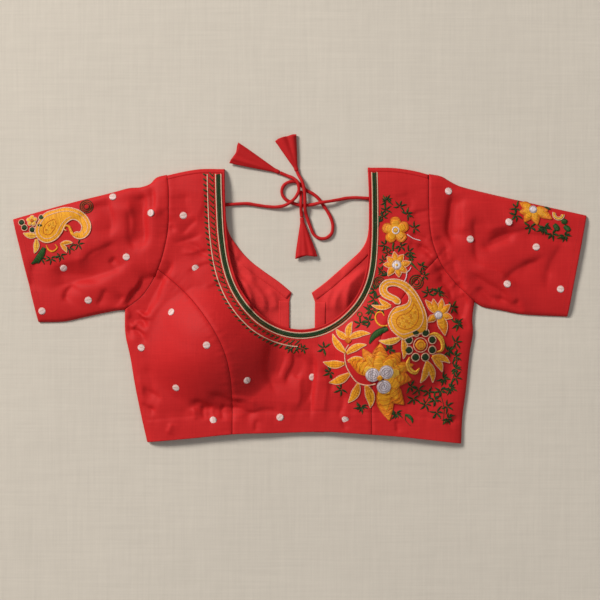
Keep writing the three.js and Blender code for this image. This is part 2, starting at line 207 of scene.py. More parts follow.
# Embroidery thread: its colour is on the mesh, and its lustre and stitches come from the satin group.
def threadMaterial(name, thread, bump, colour=None):
    made, tree, shader = newMaterial(name, 0.5, 0.25)
    satin = put(tree, "ShaderNodeGroup", node_tree=satinGroup)
    tree.links.new(put(tree, "ShaderNodeUVMap", uv_map="UVMap").outputs[0], satin.inputs["Vector"])
    satin.inputs["Thread"].default_value = thread
    base = put(tree, "ShaderNodeAttribute", attribute_name="threadColour").outputs["Color"] if colour is None \
        else put(tree, "ShaderNodeRGB").outputs[0]
    if colour is not None:
        base.default_value = (*colour, 1)
    dark = mixed(tree, 1.0, base, (0.66, 0.52, 0.42), "MULTIPLY")
    light = mixed(tree, 1.0, base, (1.12, 1.12, 1.12), "MULTIPLY")
    share = put(tree, "ShaderNodeMapRange", {0: satin.outputs["Tone"], 1: 0.22, 2: 0.72}).outputs[0]
    tree.links.new(mixed(tree, share, dark, light), shader["Base Color"])
    tree.links.new(put(tree, "ShaderNodeMapRange", {0: satin.outputs["Tone"], 3: 0.34, 4: 0.58}).outputs[0],
                   shader["Roughness"])
    raised = put(tree, "ShaderNodeBump", {"Height": satin.outputs["Height"], "Strength": 0.8, "Distance": bump * mm})
    tree.links.new(raised.outputs[0], shader["Normal"])
    return made


redCloth = clothMaterial("redSilk", (0.42, 0.009, 0.011), (0.61, 0.020, 0.020), 0.42, 0.09)
innerCloth = clothMaterial("redSilkInside", (0.52, 0.020, 0.022), (0.74, 0.038, 0.036), 0.42, 0.11, 0.7, seed=3.0)
cordCloth = clothMaterial("redBias", (0.40, 0.009, 0.011), (0.55, 0.015, 0.015), 0.34, 0.10, 0.62, seed=7.0)
linen = clothMaterial("paleLinen", tuple(c * 0.88 for c in studio["floor"]), tuple(c * 1.08 for c in studio["floor"]),
                      studio["floorThread"], 0.10, 0.9, 0.0, 11.0, 2.0, (1, 1, 1), 0.2)
embroidery = threadMaterial("embroideryThread", 0.5, 0.16)
print("camera, lights and materials ready")


def addPiece(name, points, faces, material, smoothShade=True, uvs=None, colours=None):
    mesh = bpy.data.meshes.new(name)
    mesh.from_pydata((np.asarray(points) * mm).tolist(), [], [list(map(int, f)) for f in faces])
    mesh.materials.append(material)
    mesh.shade_smooth() if smoothShade else mesh.shade_flat()
    corners = np.empty(len(mesh.loops), dtype=np.int32)
    mesh.loops.foreach_get("vertex_index", corners)
    if uvs is not None:
        layer = mesh.uv_layers.new(name="UVMap")
        layer.data.foreach_set("uv", np.asarray(uvs, float)[corners].ravel() * 0.1)
    if colours is not None:
        layer = mesh.color_attributes.new("threadColour", "FLOAT_COLOR", "POINT")
        layer.data.foreach_set("color", np.c_[colours, np.ones(len(colours))].ravel())
    made = bpy.data.objects.new(name, mesh)
    scene.collection.objects.link(made)
    return made


# A centripetal curve through the points, at an even spacing. Points may have two or three numbers.
def smooth(points, spacing=3.0, even=True):
    p = np.array(points, float)
    p = np.vstack([2 * p[0] - p[1], p, 2 * p[-1] - p[-2]])
    out = []
    for i in range(1, len(p) - 2):
        a, b, c, d = p[i - 1:i + 3]
        ta, tb, tc = (max(np.linalg.norm(e), 1e-6) ** 0.5 for e in (b - a, c - b, d - c))
        into = ((b - a) / ta - (c - a) / (ta + tb) + (c - b) / tb) * tb
        away = ((c - b) / tb - (d - b) / (tb + tc) + (d - c) / tc) * tb
        t = np.linspace(0, 1, 25)[:-1, None]
        out.append(b * (2 * t**3 - 3 * t**2 + 1) + into * (t**3 - 2 * t**2 + t) + c * (3 * t**2 - 2 * t**3)
                   + away * (t**3 - t**2))
    fine = np.vstack(out + [p[-2:-1]])
    return spaced(fine, spacing) if even else fine


def lengthsOf(line):
    return np.r_[0, np.cumsum(np.linalg.norm(np.diff(line, axis=0), axis=1))]


def spaced(line, spacing):
    line = np.asarray(line, float)
    run = lengthsOf(line)
    at = np.linspace(0, run[-1], max(2, int(math.ceil(run[-1] / spacing)) + 1))
    return np.stack([np.interp(at, run, line[:, k]) for k in range(line.shape[1])], axis=1)


def across(line):  # the unit vectors to the right of a line
    step = np.gradient(line[:, :2], axis=0)
    step /= np.linalg.norm(step, axis=1)[:, None] + 1e-12
    return np.stack([step[:, 1], -step[:, 0]], axis=1)


def moved(line, distance):
    return line[:, :2] + across(line) * np.reshape(distance, (-1, 1))


def carriedOn(line, past=60):
    first, last = line[0] - line[1], line[-1] - line[-2]
    return np.vstack([line[0] + first / np.linalg.norm(first) * past, line,
                      line[-1] + last / np.linalg.norm(last) * past])


# For each point: the distance to the nearest place on a line, which side (right is positive), and how far along.
def nearest(points, line):
    points = np.asarray(points, float)[:, :2]
    start, end = line[:-1, :2], line[1:, :2]
    d = end - start
    square = (d**2).sum(1)
    run = lengthsOf(line[:, :2])
    gap, sideOut, alongOut = np.empty(len(points)), np.empty(len(points)), np.empty(len(points))
    for k in range(0, len(points), 3000):
        r = points[k:k + 3000, None] - start
        t = np.clip((r * d).sum(2) / square, 0, 1)
        off = r - t[..., None] * d
        dist = np.sqrt((off**2).sum(2))
        i = dist.argmin(1)
        row = np.arange(len(i))
        gap[k:k + 3000] = dist[row, i]
        sideOut[k:k + 3000] = np.sign(r[row, i, 0] * d[i, 1] - r[row, i, 1] * d[i, 0])
        alongOut[k:k + 3000] = run[i] + t[row, i] * np.sqrt(square[i])
    return gap, sideOut, alongOut


edge = {
    "neck": [(-101, 183.5), (-99.5, 134.5), (-97, 93), (-91, 55), (-80, 25), (-64.5, 2), (-46.5, -15.5), (-22.5, -28),
             (1.5, -32), (26, -28), (48.5, -16), (69.5, 4.5), (82, 26), (89, 51), (92, 84), (92.5, 134.5),
             (91.5, 185.5)],
    "shoulderLeft": [(-178.5, 175), (-156.5, 180), (-133.5, 183.5), (-101, 183.5)],
    "shoulderRight": [(91.5, 185.5), (127.5, 185), (154.5, 181), (173.5, 176)],
    "armholeLeft": [(-235, -5), (-213, 12), (-198.5, 32.5), (-187, 57), (-177.5, 97), (-175.5, 133.5), (-176, 157.5),
                    (-178.5, 175)],
    "armholeRight": [(173.5, 176), (173, 140), (174.5, 106), (179, 82), (190.5, 54.5), (206, 34), (220, 19.5),
                     (235, 6)],
    "sideLeft": [(-205, -183.5), (-212.5, -151), (-221.5, -107), (-228, -68.5), (-234.5, -38), (-235, -5)],
    "sideRight": [(235, 6), (232, -17.5), (233, -35.5), (228.5, -63.5), (223.5, -112), (218.5, -151), (217, -185.5)],
    "hem": [(217, -185.5), (180, -181), (134.5, -176), (80, -172), (37.5, -169.5), (-26.5, -171), (-88, -172.5),
            (-139.5, -177.5), (-205, -183.5)],
    "sleeveTopLeft": [(-385.5, 115), (-311.5, 136), (-251.5, 151), (-229, 157), (-214, 158), (-200.5, 163),
                      (-192.5, 171), (-178.5, 175)],
    "sleeveUnderLeft": [(-235, -5), (-247.5, -6), (-289, -14.5), (-317, -20.5), (-351.5, -21.5)],
    "sleeveTopRight": [(173.5, 176), (190.5, 172.5), (202.5, 165.5), (213.5, 160), (254, 149.5), (315.5, 135.5),
                       (385.5, 120)],
    "sleeveUnderRight": [(360, -14), (296.5, -10.5), (271, -5.5), (245.5, -0.5), (235, 6)],
    "backNeckLeft": [(-101, 183.5), (-100.5, 134.5), (-96, 100), (-84.5, 80.5), (-68, 61.5), (-47.5, 45.5),
                     (-27, 31), (-11, 17.5)],
    "backNeckRight": [(16, 17), (34.5, 31), (50, 44.5), (65, 58), (83.5, 76), (91, 92), (93.2, 134.5),
                      (91.5, 185.5)],
    "princessLeft": [(-197, 54), (-165, 28), (-144.5, 8.5), (-124, -16), (-108.5, -40.5), (-98.5, -63.5), (-93, -88),
                     (-91, -113), (-90.5, -190)],
    "princessRight": [(197, 77), (165, 43.5), (145, 21), (125, -6), (110, -33), (101.5, -59.5), (97, -86.5),
                      (96, -113), (97, -190)],
}
centreBack = {"left": [(-11, 17.5), (-14, 6.5), (-14.5, -171)], "right": [(19, -170.5), (20.5, 5), (16, 17)]}
meshStep = 2.1
drawn = {name: smooth(points, meshStep) for name, points in edge.items()}
folded = [smooth(edge[name], 14) for name in ("sideLeft", "sideRight", "shoulderLeft", "shoulderRight",
                                              "sleeveTopLeft", "sleeveUnderLeft", "sleeveTopRight", "sleeveUnderRight")]

cloth = {
    "thick": 1.4, "cuffDrop": 0.5, "gap": 0.3, "roll": 6.0, "piping": 2.9, "seamDeep": 1.0, "seamWide": 1.1,
    "puffHeight": 8, "puffReach": 32, "centreDrop": 3, "centreWidth": 45,
    "cup": (115.8, -55.6, 90, 84, 36), "slope": (125, 8, 66, 66, 7),
}
# Broad folds: x, y, turn, long, wide, high
broadFolds = [(-198, 112, 84, 46, 15, 3), (203, 112, -84, 46, 16, -2.5), (-214, -26, 62, 34, 14, 3),
              (16, -112, 86, 46, 13, 3), (290, 14, -50, 34, 15, 2.5), (-266, 34, 30, 50, 16, 2.5),
              (-203, 12, 58, 34, 9, -6), (-226, -30, 40, 26, 8, -3), (212, 10, -62, 30, 9, -4), (-120, -142, 4, 60, 9, -2.5)]
backFolds = [(-62, 16, -38, 26, 14, 4.5), (68, 20, 42, 28, 14, 4)]
# Creases: from x, y, to x, y, bow, wide, high
creases = [
    (-213, 154, -211, 78, 3, 9, -3.4), (-229, 140, -226, 84, 2, 9, 1.6), (-198, 163, -196, 126, 0, 4, -2.2),
    (-335, 26, -228, 60, -5, 11, -2.4), (-340, 50, -250, 84, -4, 13, 1.4), (-256, 57, -247, 64, 0, 3.5, -1.3),
    (-317, 6, -304, 29, 2, 5, -1.7), (-231, 3, -201, -9, 2, 4, -2.6), (-231, -6, -204, -30, 3, 4.5, -2.8),
    (-228, 9, -199, 13, -2, 4, -2.2), (-229, -1, -203, -19, 2, 4, 1.6), (-192, 44, -230, -4, 4, 8, -2.6), (-226, -22, -206, -52, 2, 5, -1.2),
    (-213, -133, -194, -142, 1, 4, -1.5), (-140, -152, -143, -136, 0, 3, 1.0), (-128, -153, -130, -133, 1, 3.4, -1.2),
    (-117, -153, -118, -136, 0, 3, 1.0), (-104, -153, -103, -132, 1, 3.4, -1.2), (-19, -106, 5, -66, 3, 6, -2.0),
    (17.6, -63, 13.7, -150, 2, 5, -2.2), (2, -90, -4, -140, 1, 8, 1.4), (36, -92, 32, -146, 1, 7, 1.0),
    (159, 82, 178, 66, 1, 3.5, -1.1), (163, 70, 184, 52, 1, 3.5, 0.9), (188, 52, 202, 24, 2, 5, -1.6),
    (206, 148, 203, 84, -3, 8, -3.2), (222, 142, 220, 96, -2, 9, 1.4), (242, 78, 288, 98, -4, 9, -2.1),
    (250, 100, 292, 118, -3, 9, 1.2), (227, 42, 282, 8, 3, 7, -2.2), (236, 56, 292, 26, 3, 8, 1.4),
    (291, 8, 299, -13, 0, 4, -1.7), (208, 30, 226, -6, 3, 5, -1.5), (214, 0, 226, -34, 2, 6, -1.4),
    (330, 20, 352, 84, 4, 10, -1.2), (-362, 20, -350, 66, 3, 9, -1.0), (-296, 44, -270, 120, 6, 12, 0.9),
    (196, -160, 214, -150, 1, 4, -1.2), (60, -166, 57, -152, 0, 3, -0.9), (132, -170, 130, -155, 1, 3, -0.9),
    (-60, -168, -58, -153, 0, 3, -0.8), (-176, -172, -172, -158, 1, 3, 0.9), (-30, -140, -78, -150, -3, 6, -1.2),
    (-38, -44, -32, -120, -8, 10, -1.6), (-150, 96, -130, 60, 3, 9, -0.8), (-128, 160, -140, 108, 2, 10, 0.8),
    (-234, -14, -226, -44, 1, 3.5, -1.6), (-222, 22, -206, 4, 2, 5, -1.8), (-236, 14, -252, -2, 2, 5, -1.5),
    (-186, 40, -206, -12, 4, 7, -1.6), (-160, 88, -120, 66, 2, 5, -0.8), (-150, 74, -112, 54, 2, 4, 0.7),
    (-186, 128, -168, 96, 2, 6, -1.2), (-156, 150, -150, 116, 2, 7, -0.8), (-96, -136, -60, -146, 2, 5, -1.1),
    (-146, -128, -106, -144, 3, 6, -1.4), (-152, -140, -120, -147, 1, 4, 0.9), (46, -60, 40, -120, 3, 6, -1.1),
    (-8, -60, -2, -100, -2, 4, -1.4), (26, -56, 34, -88, 2, 4, 0.9), (202, 66, 216, 18, 3, 6, -1.8),
    (186, 96, 200, 60, 3, 5, -1.4), (222, 12, 214, -20, 2, 4, -1.5), (150, 96, 172, 88, 1, 4, -0.9),
    (146, 84, 174, 74, 1, 4, -0.9), (300, 60, 340, 40, 3, 8, -1.0), (238, 24, 262, 2, 2, 5, -1.5),
    (-270, -2, -258, 22, 2, 5, -1.2), (-300, 112, -262, 138, 3, 7, -0.9), (206, -60, 196, -118, 3, 7, -1.0),
    (-204, -80, -198, -130, 2, 7, -0.9), (-216, -96, -210, -132, 1, 4, 0.8),
    (142, 152, 150, 128, 2, 8, -0.7), (-204, 38, -236, -8, 5, 8, -2.6), (-214, 40, -242, 2, 4, 5, 1.8),
    (-198, 14, -228, -26, 4, 5, -2.2), (-206, 2, -230, -34, 3, 4, 1.6), (-262, 150, -254, 92, 4, 9, -1.8),
    (-228, 128, -222, 74, -3, 7, -1.6), (-290, 60, -246, 84, 3, 5, -1.2), (-330, 44, -262, 34, -3, 7, -1.2),
    (236, 118, 240, 58, -3, 9, -1.8), (268, 30, 330, 66, 3, 8, -1.5), (250, 84, 318, 104, 3, 7, -1.3),
    (300, 96, 366, 84, 2, 4, -1.0), (262, 12, 300, -12, 2, 5, -1.8), (-170, 60, -196, 22, 4, 4, -1.4),
    (-138, 118, -160, 96, 2, 5, -1.0), (-132, 96, -170, 84, 2, 4, -0.9), (-124, 78, -158, 70, 2, 4, 0.8),
    (-112, 58, -150, 44, -2, 4, -0.8), (-104, 40, -128, 24, 2, 4, 0.7), (178, 60, 196, 30, 3, 4, -1.3),
    (192, 40, 206, 4, 2, 4, -1.4), (208, 10, 218, -18, 2, 3.5, -1.4), (150, 120, 176, 128, 2, 4, -0.8),
    (-238, -8, -206, -2, 2, 3, -2.0), (-236, -18, -200, -20, 2, 3, -1.8), (-236, -30, -206, -40, 2, 3, -1.6),
    (20, -72, 8, -132, 4, 6, -1.2), (-20, -62, -30, -96, 2, 4, -1.0), (-120, -118, -76, -134, 2, 5, -1.4),
    (-92, -122, -56, -132, 2, 4, 0.9), (-212, -112, -186, -126, 2, 5, -1.0), (60, -118, 52, -150, 2, 4, -0.9),
]
# The same in the back, as far as the neck shows it.
backCreases = [
    (-92, 46, -66, -8, 10, 5, 2.6), (-74, 34, -46, -10, 9, 4, 2.0), (-84, 60, -60, 30, 4, 5, 1.6),
    (88, 50, 62, -6, -10, 5, 2.4), (72, 38, 46, -8, -8, 4, 1.9), (80, 66, 58, 36, -4, 5, 1.4), (-40, 22, -30, -6, 2, 5, 1.4),
    (44, 24, 34, -6, -2, 5, 1.2), (-92, 90, -84, 58, 2, 5, 1.2),
]
print("edges drawn")


def bumpsOf(rows, x, y):
    total = np.zeros_like(x)
    for cx, cy, turn, long, wide, high in rows:
        c, s = math.cos(math.radians(turn)), math.sin(math.radians(turn))
        u, v = ((x - cx) * c + (y - cy) * s) / long, ((y - cy) * c - (x - cx) * s) / wide
        total += high * np.exp(-u * u - v * v)
    return total


# A crease is sharp on one side and slopes off slowly on the other. It runs out softly at both ends, and wanders a little.
def creasesOf(rows, x, y):
    total = np.zeros_like(x)
    for ax, ay, bx, by, bow, wide, high in rows:
        long = math.hypot(bx - ax, by - ay)
        dx, dy = (bx - ax) / long, (by - ay) / long
        t = ((x - ax) * dx + (y - ay) * dy) / long
        off = (y - ay) * dx - (x - ax) * dy - bow * 4 * t * (1 - t) - 0.12 * wide * np.sin(9 * t + ax)
        fade = np.exp(-np.clip(np.abs(t - 0.5) - 0.28, 0, None)**2 / 0.03)
        reach = wide * np.where(off * (1 if bow >= 0 else -1) > 0, 0.62, 2.1)
        total += 2.5 * high * fade * np.exp(-np.abs(off / reach)**1.3)
    return total


def ripple(x, y):  # the slight waviness that an iron leaves
    waves = ((0.055, 0.021, 0.4), (-0.028, 0.061, 1.9), (0.083, -0.047, 3.1), (0.034, 0.097, 5.2), (0.12, 0.05, 0.7))
    return sum(math.sin(p * 7) * 0.16 * np.sin(a * x + b * y + p) for a, b, p in waves) \
        + 0.16 * np.sin(0.047 * x + 2.2 * np.sin(0.031 * y)) * np.sin(0.06 * y + 1.3)


def insideFold(x, y):
    points = np.c_[x, y]
    best, inside = np.full(len(x), 1e9), np.zeros(len(x), bool)
    for line in folded:
        dist, side, _ = nearest(points, line)
        same = np.abs(dist - best) < 1e-6
        closer = dist < best - 1e-6
        inside = np.where(closer, side > 0, np.where(same, inside | (side > 0), inside))
        best = np.minimum(best, dist)
    return np.where(inside, best, 0.0)


def dome(u, v):
    return np.clip(1 - u * u - v * v, 0, None)**1.5


def lift(x, y):
    share = np.clip(insideFold(x, y) / cloth["puffReach"], 0, 1)
    rounded = np.sqrt(1 - (1 - share)**2)
    centre = np.where(y < 0, cloth["centreDrop"] * np.exp(-(x / cloth["centreWidth"])**2), 0)
    total = (cloth["puffHeight"] - centre + bumpsOf(broadFolds, x, y)) * rounded
    for cx, cy, halfWide, halfTall, high in (cloth["cup"], cloth["slope"]):
        total += high * dome((np.abs(x) - cx) / halfWide, (y - cy) / halfTall)
    detail = creasesOf(creases, x, y) + 1.4 * ripple(x, y)
    total *= 1 - cloth["cuffDrop"] * np.clip((np.abs(x) - 250) / 110, 0, 1)  # the cuffs lie flatter than the arms
    return np.clip(total + detail * np.clip(share * 2.2, 0, 1), 0, None)


def backLow(x, y):
    x, y = np.asarray(x, float), np.asarray(y, float)
    return np.clip(bumpsOf(backFolds, x, y) + creasesOf(backCreases, x, y) - 0.3, 0, None)


def backTop(x, y):
    return backLow(x, y) + cloth["thick"]


hemTop = smooth([(-204, -153.5), (-150, -149), (-100, -144.5), (-30, -143), (40, -142), (100, -144), (150, -148),
                 (212, -156)], 3)
seams = [drawn[name] for name in ("princessLeft", "princessRight", "armholeLeft", "armholeRight")]


def grooves(x, y):
    total = np.zeros_like(x)
    for seam in seams:
        dist, _, along = nearest(np.c_[x, y], seam)
        total -= cloth["seamDeep"] * np.exp(-(dist / cloth["seamWide"])**2)
        total += 0.16 * np.exp(-((dist - 6) / 3)**2)  # the allowances under the cloth
        pull = np.sin(along * 0.44 + 2.1 * np.sin(along * 0.09)) + 0.6 * np.sin(along * 0.81 + 1.3)
        total += 0.34 * pull * np.exp(-(dist / 11)**2) * dist / (dist + 2)  # the puckers of a gathered seam
    dist, side, along = nearest(np.c_[x, y], hemTop)
    total += 0.25 * (side > 0) * np.clip(dist / 2, 0, 1) - 0.55 * np.exp(-(dist / 1.3)**2)
    pull = np.sin(along * 0.36 + 1.7 * np.sin(along * 0.07)) * np.exp(-((dist - 3) / 9)**2)
    return total + 0.22 * pull


def frontLow(x, y):
    x, y = np.asarray(x, float), np.asarray(y, float)
    return backTop(x, y) + cloth["gap"] + np.clip(lift(x, y) + grooves(x, y), 0, None)


def frontTop(x, y):
    return frontLow(x, y) + cloth["thick"]


def flatMesh(outline, lines=(), step=2.3, rows=(1.0, 2.2)):
    outline = np.asarray(outline)[:, :2]
    closed = np.vstack([outline, outline[:1]])
    low, high = outline.min(0), outline.max(0)
    gx, gy = np.meshgrid(np.arange(low[0], high[0], step), np.arange(low[1], high[1], step * 0.866))
    gx[1::2] += step / 2
    grid = np.c_[gx.ravel(), gy.ravel()]
    borders = [closed] + list(lines)
    turned = -1 if signedArea(outline) > 0 else 1
    edgeRows = [moved(closed, turned * r) for r in rows]
    for line in lines:
        edgeRows += [moved(line, s * rows[0]) for s in (1, -1)]
    free = np.vstack(edgeRows)
    free = free[np.min([nearest(free, b)[0] for b in borders], axis=0) > rows[0] * 0.85]
    grid = grid[np.min([nearest(grid, b)[0] for b in borders], axis=0) > rows[-1] + step * 0.45]
    points = [outline]
    edges, count = [], len(outline)
    for line in lines:
        edges += [(count + i, count + i + 1) for i in range(len(line) - 1)]
        points.append(line[:, :2])
        count += len(line)
    points = np.vstack(points + [free, grid])
    made = geometry.delaunay_2d_cdt([Vector(p) for p in points], edges, [list(range(len(outline)))], 1, 0.02)
    flat = np.array([tuple(v) for v in made[0]])
    triangles = np.array([f for f in made[2] if len(f) == 3])
    a, b, c = (flat[triangles[:, k]] for k in range(3))
    twice = (b[:, 0] - a[:, 0]) * (c[:, 1] - a[:, 1]) - (b[:, 1] - a[:, 1]) * (c[:, 0] - a[:, 0])
    triangles[twice < 0] = triangles[twice < 0][:, ::-1]
    keep = (np.abs(twice) > 1e-4) & insideOf(((a + b + c) / 3), outline)
    return flat, triangles[keep]


def signedArea(outline):
    x, y = outline[:, 0], outline[:, 1]
    return 0.5 * np.sum(x * np.roll(y, -1) - y * np.roll(x, -1))


def insideOf(points, outline):
    inside = np.zeros(len(points), bool)
    for (ax, ay), (bx, by) in zip(outline, np.roll(outline, -1, axis=0)):
        crosses = (ay > points[:, 1]) != (by > points[:, 1])
        with np.errstate(divide="ignore", invalid="ignore"):
            at = ax + (points[:, 1] - ay) * (bx - ax) / (by - ay)
        inside ^= crosses & (points[:, 0] < at)
    return inside


def borderOf(triangles):  # the directed edges that only one triangle has
    sides = np.vstack([triangles[:, [0, 1]], triangles[:, [1, 2]], triangles[:, [2, 0]]])
    have = set(map(tuple, sides.tolist()))
    return [(a, b) for a, b in map(tuple, sides.tolist()) if (b, a) not in have]


def outward(flat, sides):
    normals = {}
    for a, b in sides:
        d = flat[b] - flat[a]
        n = np.array([d[1], -d[0]]) / (np.linalg.norm(d) + 1e-12)
        for v in (a, b):
            normals[v] = normals.get(v, 0) + n
    return {v: n / (np.linalg.norm(n) + 1e-12) for v, n in normals.items()}


def tidy(flat, triangles):
    used = np.unique(triangles)
    renamed = np.full(len(flat), -1)
    renamed[used] = np.arange(len(used))
    return flat[used], renamed[triangles]


# Closed cloth between two heights. Edges on a fold line join the top to the underside of a flat tube instead.
def clothPiece(name, flat, triangles, low, high, material, inset=0.28, tube=None, bulge=0.35):
    flat, triangles = tidy(flat, triangles)
    border = borderOf(triangles)
    folds = []
    if tube is not None:
        middles = np.array([(flat[a] + flat[b]) / 2 for a, b in border])
        onFold = np.min([nearest(middles, line)[0] for line in tube], axis=0) < 0.15
        folds = [side for side, yes in zip(border, onFold) if yes]
        border = [side for side, yes in zip(border, onFold) if not yes]
    openWay, foldWay = outward(flat, border), outward(flat, folds)
    flat = flat.copy()
    for v, n in openWay.items():
        flat[v] -= n * inset
    n = len(flat)
    x, y = flat.T
    points, faces = [], []

    def layer(z, at=flat):
        start = sum(map(len, points))
        points.append(np.c_[at, z])
        return start

    def ring(ways, upper, lower, reach):
        names = {}
        every = np.vstack(points)
        rows = []
        for v, way in ways.items():
            names[v] = len(every) + len(rows)
            rows.append([*(flat[v] + way * reach), (every[upper + v][2] + every[lower + v][2]) / 2])
        if rows:
            points.append(np.array(rows))
        return names

    def wall(sides, upper, middle, lower):
        for a, b in sides:
            faces.append((upper + b, upper + a, middle[a], middle[b]))
            faces.append((middle[b], middle[a], lower + a, lower + b))

    def skin(start, up):
        faces.extend((triangles if up else triangles[:, ::-1]) + start)

    topZ, lowZ = high(x, y), low(x, y)
    if tube is None:
        top, under = layer(topZ), layer(lowZ)
        middle = ring(openWay, top, under, bulge)
        skin(top, True)
        skin(under, False)
        wall(border, top, middle, under)
    else:
        inner = flat.copy()
        for v, way in foldWay.items():
            inner[v] -= way * cloth["thick"] * 0.9
        ix, iy = inner.T
        top, roof = layer(topZ), layer(np.maximum(low(ix, iy), cloth["thick"] + 0.25), inner)
        floor, under = layer(np.full(n, cloth["thick"]), inner), layer(np.zeros(n))
        skin(top, True), skin(roof, False), skin(floor, True), skin(under, False)
        upper, lower = ring(openWay, top, roof, bulge), ring(openWay, floor, under, bulge)
        outer = ring(foldWay, top, under, 1.1)
        wall(border, top, upper, roof)
        wall(border, floor, lower, under)
        wall(folds, top, outer, under)
        faces.extend((roof + a, roof + b, floor + b, floor + a) for a, b in folds)
        foldInto = {b for _, b in folds}
        for v in set(foldWay) & set(openWay):
            loop = [under + v, lower[v], floor + v, roof + v, upper[v], top + v, outer[v]]
            faces.append(loop if v in foldInto else loop[::-1])
    piece = addPiece(name, np.vstack(points), faces, material)
    print("cloth:", name, len(piece.data.polygons), "faces")
    return piece


def sideOf(middles, line):
    return nearest(middles, line)[1]


frontOutline = np.vstack([drawn[k][:-1] for k in ("hem", "sideLeft", "armholeLeft", "shoulderLeft", "neck",
                                                   "shoulderRight", "armholeRight", "sideRight")])
neckCut = carriedOn(moved(drawn["neck"], cloth["piping"]), 12)
rollCuts = [carriedOn(moved(drawn[k], cloth["roll"]), 12) for k in ("shoulderLeft", "shoulderRight")]
flatFront, frontFaces = flatMesh(frontOutline, [drawn["princessLeft"], drawn["princessRight"], neckCut] + rollCuts)
middles = flatFront[frontFaces].mean(axis=1)
kept = (nearest(middles, drawn["neck"])[0] > cloth["piping"]) \
    & (np.min([nearest(middles, drawn[k])[0] for k in ("shoulderLeft", "shoulderRight")], axis=0) > cloth["roll"])
beyondLeft = sideOf(middles, drawn["princessLeft"]) > 0
beyondRight = sideOf(middles, drawn["princessRight"]) < 0
pieces = {}
for name, chosen in (("front_side_left", beyondLeft), ("front_side_right", beyondRight),
                     ("front_centre", ~beyondLeft & ~beyondRight)):
    pieces[name] = clothPiece(name + "_cloth", flatFront, frontFaces[kept & chosen], frontLow, frontTop, redCloth)

hemLine = drawn["hem"]
hemLeft = hemLine[hemLine[:, 0] < centreBack["left"][-1][0] - 1]
hemRight = hemLine[hemLine[:, 0] > centreBack["right"][0][0] + 1]
backOutlines = {
    "back_left": [spaced(centreBack["left"], meshStep), hemLeft, drawn["sideLeft"], drawn["armholeLeft"],
                  drawn["shoulderLeft"], drawn["backNeckLeft"]],
    "back_right": [drawn["backNeckRight"], drawn["shoulderRight"], drawn["armholeRight"], drawn["sideRight"], hemRight,
                   spaced(centreBack["right"], meshStep)],
}


def joined(parts):
    line = np.vstack(parts)
    near = np.linalg.norm(line - np.roll(line, 1, axis=0), axis=1)
    return line[near > 0.4]


# One section of the roll: (distance in from the fold, height), from under the back round to the lip on the front.
def shoulderRoll(name, line):
    inward = across(line)
    reach = cloth["roll"]
    t = cloth["thick"]
    sections = []
    for share, gapLow in ((reach, 0), (3, 0), (1, 0), (0.25, 0.5), (0, None), (0.3, 1), (1.2, 1), (3, 1), (reach - 0.4, 1),
                          (reach, 2), (reach - 0.3, 3), (3, 3), (1.6, 4), (3, 5), (reach, 5)):
        at = line + inward * share
        x, y = at.T
        low, high = frontLow(x, y), frontTop(x, y)
        middle = (high + backLow(x, y)) / 2
        heights = {0: backLow(x, y), 0.5: backLow(x, y) + 0.5, 1: high, 2: (low + high) / 2, 3: low,
                   4: middle, 5: backTop(x, y)}
        sections.append(np.c_[at, middle if gapLow is None else heights[gapLow]])
    return loft(name, np.stack(sections, axis=1), redCloth)


# A closed tube through sections of points, with both ends capped.
def loft(name, sections, material, **more):
    rings, sides, _ = sections.shape
    faces = [(r * sides + k, r * sides + (k + 1) % sides, (r + 1) * sides + (k + 1) % sides, (r + 1) * sides + k)
             for r in range(rings - 1) for k in range(sides)]
    faces += [tuple(range(sides))[::-1], tuple((rings - 1) * sides + k for k in range(sides))]
    points = sections.reshape(-1, 3)
    if volumeOf(points, faces) < 0:
        faces = [f[::-1] for f in faces]
    return addPiece(name, points, faces, material, **more)


def volumeOf(points, faces):
    total = 0.0
    for f in faces:
        a = points[f[0]]
        for i in range(1, len(f) - 1):
            total += np.dot(a, np.cross(points[f[i]], points[f[i + 1]]))
    return total


for name, shoulder in (("back_left", "shoulderLeft"), ("back_right", "shoulderRight")):
    cut = carriedOn(moved(drawn[shoulder], cloth["roll"]), 12)
    flat, triangles = flatMesh(joined(backOutlines[name]), [cut], step=3.2)
    off = nearest(flat[triangles].mean(axis=1), drawn[shoulder])[0]
    pieces[name] = clothPiece(name + "_cloth", flat, triangles[off > cloth["roll"]], backLow, backTop, innerCloth)
    pieces[name + "_roll"] = shoulderRoll(name + "_shoulder", drawn[shoulder])

for name, parts, tube in (
        ("sleeve_left", ("sleeveTopLeft", "armholeLeft", "sleeveUnderLeft"), ("sleeveTopLeft", "sleeveUnderLeft")),
        ("sleeve_right", ("sleeveTopRight", "sleeveUnderRight", "armholeRight"), ("sleeveTopRight", "sleeveUnderRight"))):
    lines = [drawn[part][::-1] if part.startswith("armhole") else drawn[part] for part in parts]
    cuff = spaced([drawn[tube[1]][-1], drawn[tube[0]][0]] if name == "sleeve_left"
                  else [drawn[tube[0]][-1], drawn[tube[1]][0]], meshStep)
    drawn[name + "Cuff"] = cuff
    lines.insert(3 if name == "sleeve_left" else 1, cuff)
    flat, triangles = flatMesh(joined(lines), step=2.6, rows=(2.0, 4.0))
    pieces[name] = clothPiece(name + "_cloth", flat, triangles, frontLow, frontTop, redCloth,
                              tube=[drawn[part] for part in tube])

trim = {"pipingWide": 2.9, "facingWide": 11, "placketWide": 14, "facingTop": 128, "trimThick": 0.9}


